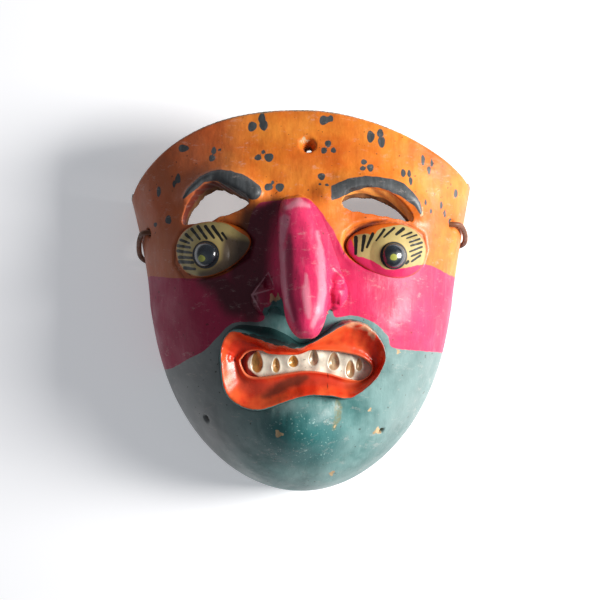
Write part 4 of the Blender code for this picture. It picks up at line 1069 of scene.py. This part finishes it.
class Paint:
    """A material and short ways to add nodes to it."""

    def __init__(self, name, **constants):
        self.material = bpy.data.materials.new(name)
        self.material.use_nodes = True
        self.tree = self.material.node_tree
        self.shader = self.tree.nodes["Principled BSDF"]
        for socket, value in constants.items():
            self.shader.inputs[socket.replace("_", " ")].default_value = value
        self.where = self.tree.nodes.new("ShaderNodeTexCoord").outputs["Object"]

    def put(self, socket, value):
        """Sets an input to a number, a colour or another node's output."""
        if isinstance(value, bpy.types.NodeSocket):
            self.tree.links.new(value, socket)
        elif isinstance(value, tuple) and len(value) == 3 and socket.type == "RGBA":
            socket.default_value = (*value, 1)
        else:
            socket.default_value = value

    def field(self, name):
        """A stored vertex number."""
        node = self.tree.nodes.new("ShaderNodeAttribute")
        node.attribute_name = name
        return node.outputs["Fac"]

    def math(self, operation, first, second=0.0):
        """One sum of two numbers or other nodes' outputs."""
        node = self.tree.nodes.new("ShaderNodeMath")
        node.operation = operation
        self.put(node.inputs[0], first)
        self.put(node.inputs[1], second)
        return node.outputs[0]

    def span(self, value, low, high, to_low=0.0, to_high=1.0):
        """value's place between low and high, mapped smoothly to a second span."""
        node = self.tree.nodes.new("ShaderNodeMapRange")
        node.interpolation_type = "SMOOTHSTEP"
        self.put(node.inputs["Value"], value)
        for name, number in (("From Min", low), ("From Max", high), ("To Min", to_low), ("To Max", to_high)):
            node.inputs[name].default_value = number
        return node.outputs[0]

    def stretch(self, scale):
        """Object coordinates stretched by scale, for grain."""
        node = self.tree.nodes.new("ShaderNodeMapping")
        self.put(node.inputs["Vector"], self.where)
        node.inputs["Scale"].default_value = scale
        return node.outputs[0]

    def noise(self, scale, detail=2.0, stretch=None, roughness=0.5):
        """Smooth noise about 0.5. scale is in waves to the metre."""
        node = self.tree.nodes.new("ShaderNodeTexNoise")
        self.put(node.inputs["Vector"], self.stretch(stretch) if stretch else self.where)
        node.inputs["Scale"].default_value = scale
        node.inputs["Detail"].default_value = detail
        node.inputs["Roughness"].default_value = roughness
        return node.outputs["Fac"]

    def mix(self, share, first, second):
        """first turned into second by share."""
        node = self.tree.nodes.new("ShaderNodeMix")
        node.data_type = "RGBA"
        self.put(node.inputs[0], share)
        self.put(node.inputs[6], first)
        self.put(node.inputs[7], second)
        return node.outputs[2]

    def shifted(self, name, amount, noise):
        """A stored distance whose edge is drawn unevenly, by amount millimetres either way."""
        shift = self.both(self.math("SUBTRACT", noise, 0.5), 2 * amount)
        return self.math("ADD", self.field(name), shift)

    def both(self, first, second):
        """Two shares multiplied."""
        return self.math("MULTIPLY", first, second)

    def layer(self, paint, tint, share, name, waver, noise, low, high):
        """Paint over paint in a stored field, where its wavering edge passes from low to high."""
        return self.mix(self.span(self.shifted(name, waver, noise), low, high, 0, share), paint, tint)

    def bump(self, height, distance, strength, under=None):
        """A normal for relief that is too fine for the mesh, over another one if given."""
        node = self.tree.nodes.new("ShaderNodeBump")
        node.inputs["Strength"].default_value = strength
        node.inputs["Distance"].default_value = distance
        self.put(node.inputs["Height"], height)
        if under:
            self.put(node.inputs["Normal"], under)
        return node.outputs[0]

    def finish(self, colour, roughness=None, normal=None):
        """Gives the shader what it shows, and returns the material."""
        self.put(self.shader.inputs["Base Color"], colour)
        if roughness:
            self.put(self.shader.inputs["Roughness"], roughness)
        if normal:
            self.put(self.shader.inputs["Normal"], normal)
        return self.material


def colour(name, times=1.0):
    """A paint's colour in the linear values that shaders take, made lighter or darker by times."""
    values = []
    for part in PAINT[name]:
        part = part / 255
        linear = part / 12.92 if part <= 0.04045 else ((part + 0.055) / 1.055) ** 2.4
        values.append(min(linear * times, 1.0))
    return tuple(values)


def face_paint():
    """Gloss paint in three bands with brushed edges, over wood that shows at the rim, at the chips and, as
    painted light, in the nostrils.
    """
    p = Paint("face_paint", Coat_Weight=0.04, Coat_Roughness=0.15, Specular_IOR_Level=0.32)
    edge = p.noise(260, 3)
    fine = p.noise(900, 2)
    cloud = p.noise(38, 4, roughness=0.6)
    brush = p.noise(60, 4, stretch=(6, 0.8, 3), roughness=0.6)
    orange = p.mix(p.span(cloud, 0.3, 0.7), colour("orange", 0.85), colour("amber", 0.95))
    orange = p.mix(p.span(brush, 0.4, 0.75, 0, 0.35), orange, colour("orange", 0.72))
    magenta = p.mix(p.span(cloud, 0.3, 0.72), colour("magenta", 0.8), colour("magenta", 1.2))
    magenta = p.mix(p.span(brush, 0.5, 0.8, 0, 0.5), magenta, (0.72, 0.13, 0.22))
    streak = p.noise(150, 5, stretch=(3, 0.9, 2), roughness=0.7)
    magenta = p.mix(p.span(streak, 0.52, 0.72, 0, 0.45), magenta, (0.36, 0.012, 0.07))
    teal = p.mix(p.span(cloud, 0.34, 0.66), colour("teal", 1.05), (0.16, 0.32, 0.31))
    teal = p.mix(p.span(p.noise(26, 3), 0.45, 0.7, 0.1, 0.55), teal, (0.3, 0.38, 0.37))
    teal = p.mix(p.span(brush, 0.55, 0.85, 0, 0.35), teal, (0.025, 0.11, 0.105))
    deep_teal = p.both(p.span(p.shifted("ball", 4, cloud), -2, 6), 0.85)
    teal = p.mix(deep_teal, teal, (0.006, 0.115, 0.115))
    flecks = p.both(p.span(p.noise(800, 1), 0.66, 0.72), p.span(p.field("ball"), 0, 6, 0, 0.6))
    teal = p.mix(flecks, teal, (0.3, 0.48, 0.44))
    # Painted reflection: the teal is greyed towards the left, where its gloss mirrors the bright floor.
    # Towards the far right it is greyer too.
    teal = p.mix(p.span(p.field("left"), 8, 48, 0, 0.8), teal, (0.27, 0.25, 0.245))
    teal = p.mix(p.span(p.field("left"), -55, -20, 0.5, 0), teal, (0.2, 0.24, 0.235))
    drip = p.both(p.span(p.shifted("drip", 0.8, edge), -0.5, 0.6), p.span(fine, 0.35, 0.6, 0.35, 0.9))
    teal = p.mix(drip, teal, (0.13, 0.15, 0.075))
    paint = p.mix(p.span(p.shifted("orange", 0.5, edge), -0.25, 0.25), magenta, orange)
    # Painted shade over the left side, which faces away from the window, together with the paint's own redder
    # tone there.
    shade = p.both(p.span(p.field("left"), 16, 56, 0, 0.78), p.span(cloud, 0.3, 0.6, 0.6, 1))
    stain = p.mix(p.span(p.field("orange"), -0.3, 0.3), (0.22, 0.012, 0.04), (0.33, 0.075, 0.05))
    paint = p.mix(shade, paint, stain)
    paint = p.layer(paint, teal, 1, "teal", 0.5, edge, -0.2, 0.2)
    for mark in (
        # painted highlights and reflections on the nose's ridge
        ((0.66, 0.27, 0.35), 0.6, "pale", 1.4, brush, -0.8, 0.9),
        ((0.17, 0.008, 0.04), 0.6, "maroon", 1.2, brush, -0.9, 0.9),
        # painted shadow of the nose, in dark maroon
        ((0.03, 0.009, 0.011), 0.85, "dirt", 1.5, brush, -5, 3),
        # painted highlights on the edges of the wings' creases
        ((0.5, 0.24, 0.28), 0.6, "line", 0.2, edge, -0.25, 0.1),
        ((0.1, 0.012, 0.008), 0.9, "shade", 0.4, edge, -0.8, 0.6),
    ):
        paint = p.layer(paint, *mark)
    # Painted shade along the crease just inside each socket's ledge.
    paint = p.mix(p.span(p.field("crease"), 0.1, 0.8, 0, 0.5), paint, colour("grime"))
    # Painted shade on the walls of the left slot, and painted light, in bright amber, on the walls of the
    # right slot.
    wall = p.both(p.span(p.field("deep"), 0.3, 1.3), p.span(p.field("orange"), 0, 2))
    lit_wall = p.both(wall, p.span(p.field("left"), -14, -8, 1, 0))
    wall = p.both(wall, p.span(p.field("left"), 8, 14, 0, 0.95))
    paint = p.mix(wall, paint, (0.15, 0.022, 0.01))
    paint = p.mix(lit_wall, paint, (1.0, 0.42, 0.09))
    ink = p.mix(p.span(brush, 0.35, 0.75), colour("ink", 0.8), colour("ink", 1.5))
    paint = p.layer(paint, ink, 1, "dark", 0.45, edge, -0.12, 0.14)
    paint = p.mix(p.span(p.field("crack"), -0.1, 0.1, 0, 0.85), paint, colour("grime", 0.5))

    scuff = p.span(p.noise(130, 6, stretch=(1, 2.2, 1), roughness=0.8), 0.56, 0.68, 0, 0.2)
    paint = p.mix(scuff, paint, (0.75, 0.6, 0.55))
    specks = p.span(p.noise(520, 1), 0.73, 0.77)
    paint = p.mix(p.both(specks, 0.6), paint, colour("grime", 1.2))
    wood = p.mix(p.span(p.noise(90, 3, stretch=(5, 0.6, 5)), 0.3, 0.7), colour("wood"), colour("wood", 0.6))
    # Bare wood at the chips and the rim. The same pale wood paints the light in the nostrils.
    chip = p.span(p.shifted("chip", 1.1, p.noise(420, 3)), -0.05, 0.15)
    rim = p.span(p.shifted("rim", 1.1, p.noise(150, 4)), 0.6, 1.3, 1, 0)
    bare = p.math("MAXIMUM", chip, rim)
    paint = p.mix(bare, paint, wood)
    paint = p.mix(p.both(rim, p.span(fine, 0.35, 0.65)), paint, colour("grime", 1.6))
    old_grain = p.noise(55, 5, stretch=(4, 0.7, 2))
    old = p.mix(p.span(old_grain, 0.3, 0.7), colour("old_wood", 0.8), colour("old_wood", 1.7))
    inside = p.span(p.field("deep"), 4.6, 5.4)
    paint = p.mix(inside, paint, old)

    rough = p.span(p.noise(70, 4), 0.3, 0.75, 0.37, 0.62)
    rough = p.math("MAXIMUM", rough, p.both(p.math("MAXIMUM", inside, bare), 0.75))
    bumps = p.math("ADD", p.both(brush, 0.5), p.both(fine, 0.16))
    normal = p.bump(p.noise(110, 3), 0.8 * MM, 0.6, p.bump(bumps, 0.5 * MM, 0.6))
    return p.finish(paint, rough, normal)


def eye_paint():
    """Cream with inked lashes, in a field that the orange and magenta run up to."""
    p = Paint("eye_paint", Coat_Weight=0.15, Coat_Roughness=0.2, Specular_IOR_Level=0.3)
    edge = p.noise(420, 3)
    cloud = p.noise(90, 4)
    face = p.mix(p.span(p.shifted("orange", 0.6, edge), -0.3, 0.3), colour("magenta"), colour("orange", 0.8))
    cream = p.mix(p.span(cloud, 0.3, 0.7), colour("cream", 0.6), colour("cream", 0.85))
    cream = p.mix(p.span(p.field("around"), 0.2, 1.6, 0.55, 0), cream, colour("ochre", 0.9))
    paint = p.mix(p.span(p.shifted("cream", 0.5, edge), -0.15, 0.15), face, cream)
    paint = p.layer(paint, (0.055, 0.032, 0.032), 0.85, "shade", 1, cloud, -1.5, 2)
    paint = p.mix(p.span(p.shifted("edge", 0.3, edge), 0.1, 0.7, 0.65, 0), paint, colour("orange", 0.75))
    paint = p.mix(p.span(p.field("around"), 0.5, 0.9, 1, 0), paint, (0.02, 0.024, 0.03))
    paint = p.layer(paint, (0.012, 0.012, 0.01), 1, "lash", 0.2, edge, -0.1, 0.1)
    rough = p.span(cloud, 0.3, 0.7, 0.24, 0.42)
    return p.finish(paint, rough, p.bump(p.noise(300, 3), 0.3 * MM, 0.5))


def pupil_paint():
    """Glossy blue black, with a painted dot in a paler patch."""
    p = Paint("pupil_paint", Coat_Weight=1.0, Coat_Roughness=0.06)
    edge = p.noise(500, 3)
    blue = p.mix(p.span(p.noise(160, 3), 0.3, 0.7), colour("pupil", 0.6), colour("pupil", 2.2))
    paint = p.mix(p.span(p.shifted("wet", 0.8, edge), 0.2, 2.4, 0, 0.35), blue, (0.12, 0.14, 0.1))
    paint = p.layer(paint, colour("dot"), 1, "dot", 0.5, edge, -0.1, 0.1)
    return p.finish(paint, p.span(edge, 0.3, 0.7, 0.2, 0.34), p.bump(p.noise(220, 3), 0.3 * MM, 0.5))


def lip_paint():
    """Red, with a painted orange highlight at the inner edge, teal over the wall and a worn pale crest."""
    p = Paint("lip_paint", Coat_Weight=0.07, Coat_Roughness=0.14, Specular_IOR_Level=0.35)
    edge = p.noise(300, 3)
    cloud = p.noise(75, 4)
    streak = p.noise(200, 3)
    red = p.mix(p.span(cloud, 0.35, 0.68), colour("red", 0.9), (0.85, 0.12, 0.03))
    red = p.mix(p.span(streak, 0.6, 0.75, 0, 0.5), red, (0.5, 0.02, 0.01))
    # Painted highlight, orange, along the lips' inner edge.
    red = p.mix(p.span(p.field("share"), 0.0, 0.1, 0.5, 0), red, (0.72, 0.3, 0.14))
    # Painted shade, darker red, in the hollow of the lower lip between its inner bead and its crest.
    trough = p.both(p.span(p.field("share"), 0.1, 0.28), p.span(p.field("share"), 0.45, 0.75, 1, 0))
    trough = p.both(trough, p.span(p.field("below"), -2, 3))
    red = p.mix(p.both(trough, p.span(p.noise(60, 3), 0.35, 0.6, 0.1, 0.7)), red, (0.46, 0.05, 0.025))
    teal = p.mix(p.span(cloud, 0.3, 0.7), colour("teal", 0.5), colour("teal", 1.3))
    over = p.shifted("over", 0.7, edge)
    # Painted highlight: a lighter teal line just beyond the crest.
    rim = p.both(p.span(over, 0.0, 0.3), p.span(over, 0.8, 1.6, 1, 0))
    red = p.layer(red, (0.16, 0.03, 0.014), 0.85, "smear", 1.6, streak, -1.8, 0.8)
    paint = p.mix(p.span(over, -0.1, 0.15), red, teal)
    paint = p.mix(p.both(rim, 0.6), paint, (0.22, 0.33, 0.31))
    # Painted shadow, near black, down the outer wall under the crest.
    paint = p.layer(paint, (0.012, 0.018, 0.018), 0.75, "over", 0.5, cloud, 1.3, 2.6)
    paint = p.mix(p.span(p.field("crack"), -0.1, 0.1, 0, 0.8), paint, colour("grime", 0.4))
    # Painted shadow, near black, along the upper lip's crest at the left.
    paint = p.layer(paint, (0.012, 0.014, 0.014), 0.92, "soot", 1.2, edge, -0.2, 0.3)
    wear = p.both(p.span(p.shifted("chip", 1.2, edge), -0.6, 0.8), p.span(streak, 0.3, 0.6, 0.3, 1))
    paint = p.mix(wear, paint, (0.72, 0.36, 0.2))
    return p.finish(paint, p.span(cloud, 0.3, 0.7, 0.22, 0.4), p.bump(streak, 0.5 * MM, 0.5))


def tooth_paint():
    """Silver, with ochre in the hollows and painted shadow in dark red at the strip's left end."""
    p = Paint("tooth_paint", Metallic=0.15, Coat_Weight=0.25, Coat_Roughness=0.15)
    edge = p.noise(450, 3)
    cloud = p.noise(180, 4)
    silver = p.mix(p.span(cloud, 0.3, 0.7), colour("silver", 0.75), colour("silver", 1.15))
    ochre = p.mix(p.span(cloud, 0.35, 0.65), colour("ochre", 0.8), colour("ochre", 1.5))
    ochre = p.mix(p.field("tint"), colour("silver", 0.7), ochre)
    # Painted shadow: each hollow's ochre is darker brown on its left side.
    ochre = p.mix(p.span(p.field("side"), -0.9, 0.1, 0.75, 0), ochre, (0.16, 0.07, 0.02))
    paint = p.mix(p.span(p.shifted("hollow", 0.25, edge), -0.15, 0.25), silver, ochre)
    # Painted shadow, dark red, at the strip's left end.
    paint = p.layer(paint, (0.22, 0.012, 0.008), 1, "gum", 0.6, edge, -0.3, 0.8)
    paint = p.mix(p.span(p.noise(600, 2), 0.68, 0.75, 0, 0.5), paint, colour("grime"))
    return p.finish(paint, p.span(cloud, 0.3, 0.7, 0.26, 0.45), p.bump(cloud, 0.4 * MM, 0.5))


def bare_wood():
    """Plain wood, for the pegs inside the nose."""
    p = Paint("bare_wood")
    grain = p.noise(90, 4, stretch=(6, 6, 0.6))
    wood = p.mix(grain, colour("wood", 0.6), colour("wood"))
    return p.finish(wood, p.span(grain, 0.3, 0.7, 0.6, 0.8), p.bump(grain, 0.3 * MM, 0.4))


def leather():
    """Brown leather, for the thong and its knots."""
    p = Paint("leather")
    grain = p.noise(420, 4)
    cloud = p.noise(45, 3)
    brown = p.mix(p.span(cloud, 0.3, 0.7), colour("leather", 0.6), colour("leather", 1.8))
    brown = p.mix(p.span(grain, 0.55, 0.75, 0, 0.5), brown, colour("leather", 0.35))
    return p.finish(brown, p.span(grain, 0.3, 0.7, 0.45, 0.7), p.bump(grain, 0.3 * MM, 0.6))


def add_camera():
    """The camera of the main view. Standard keeps the paint from turning grey."""
    bpy.context.scene.view_settings.view_transform = "Standard"
    data = bpy.data.cameras.new("camera")
    data.sensor_width = CAMERA_SENSOR
    data.lens = CAMERA_LENS
    camera = bpy.data.objects.new("camera", data)
    bpy.context.scene.collection.objects.link(camera)
    camera.location = CAMERA_PLACE
    bpy.context.scene.camera = camera


def add_window():
    """The one lamp, a soft window at the mask's side."""
    data = bpy.data.lights.new("window", "AREA")
    data.shape = "RECTANGLE"
    data.size, data.size_y = WINDOW_SIZE
    data.energy = WINDOW_POWER
    data.color = WINDOW_TINT
    light = bpy.data.objects.new("window", data)
    bpy.context.scene.collection.objects.link(light)
    light.location = WINDOW_PLACE
    light.rotation_mode = "QUATERNION"
    light.rotation_quaternion = (Vector(WINDOW_AIM) - Vector(WINDOW_PLACE)).to_track_quat("-Z", "Y")


def add_floor():
    """A pale floor just under the rim, which glows a little."""
    bpy.ops.mesh.primitive_plane_add(size=FLOOR_SIZE, location=(0, 0, -FLOOR_DROP))
    floor = bpy.context.object
    floor.name = "floor"
    p = Paint("floor", Roughness=0.75, Emission_Color=(0.95, 0.97, 1, 1), Emission_Strength=FLOOR_GLOW)
    floor.data.materials.append(p.finish((0.86, 0.86, 0.88)))


def add_world():
    """An even, faintly blue sky."""
    world = bpy.data.worlds.new("world")
    bpy.context.scene.world = world
    world.use_nodes = True
    background = world.node_tree.nodes["Background"]
    background.inputs["Color"].default_value = SKY_TINT
    background.inputs["Strength"].default_value = SKY_STRENGTH


def main():
    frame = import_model()
    add_camera()
    strap = leather()
    add_thong(strap, [add_knot(side, strap) for side in KNOTS])
    paint = face_paint()
    add_shell(paint)
    add_nose(paint)
    eye_finish, pupil_finish = eye_paint(), pupil_paint()
    for side in EYES:
        add_pupil(side, add_eye(side, eye_finish), pupil_finish)
    add_lips(lip_paint())
    add_teeth(tooth_paint())
    wood = bare_wood()
    for name in ("nose_peg_upper", "nose_peg_lower"):
        peg = frame["nodes"][name]
        for slot in peg.material_slots:
            slot.material = wood
    add_world()
    add_floor()
    add_window()


main()
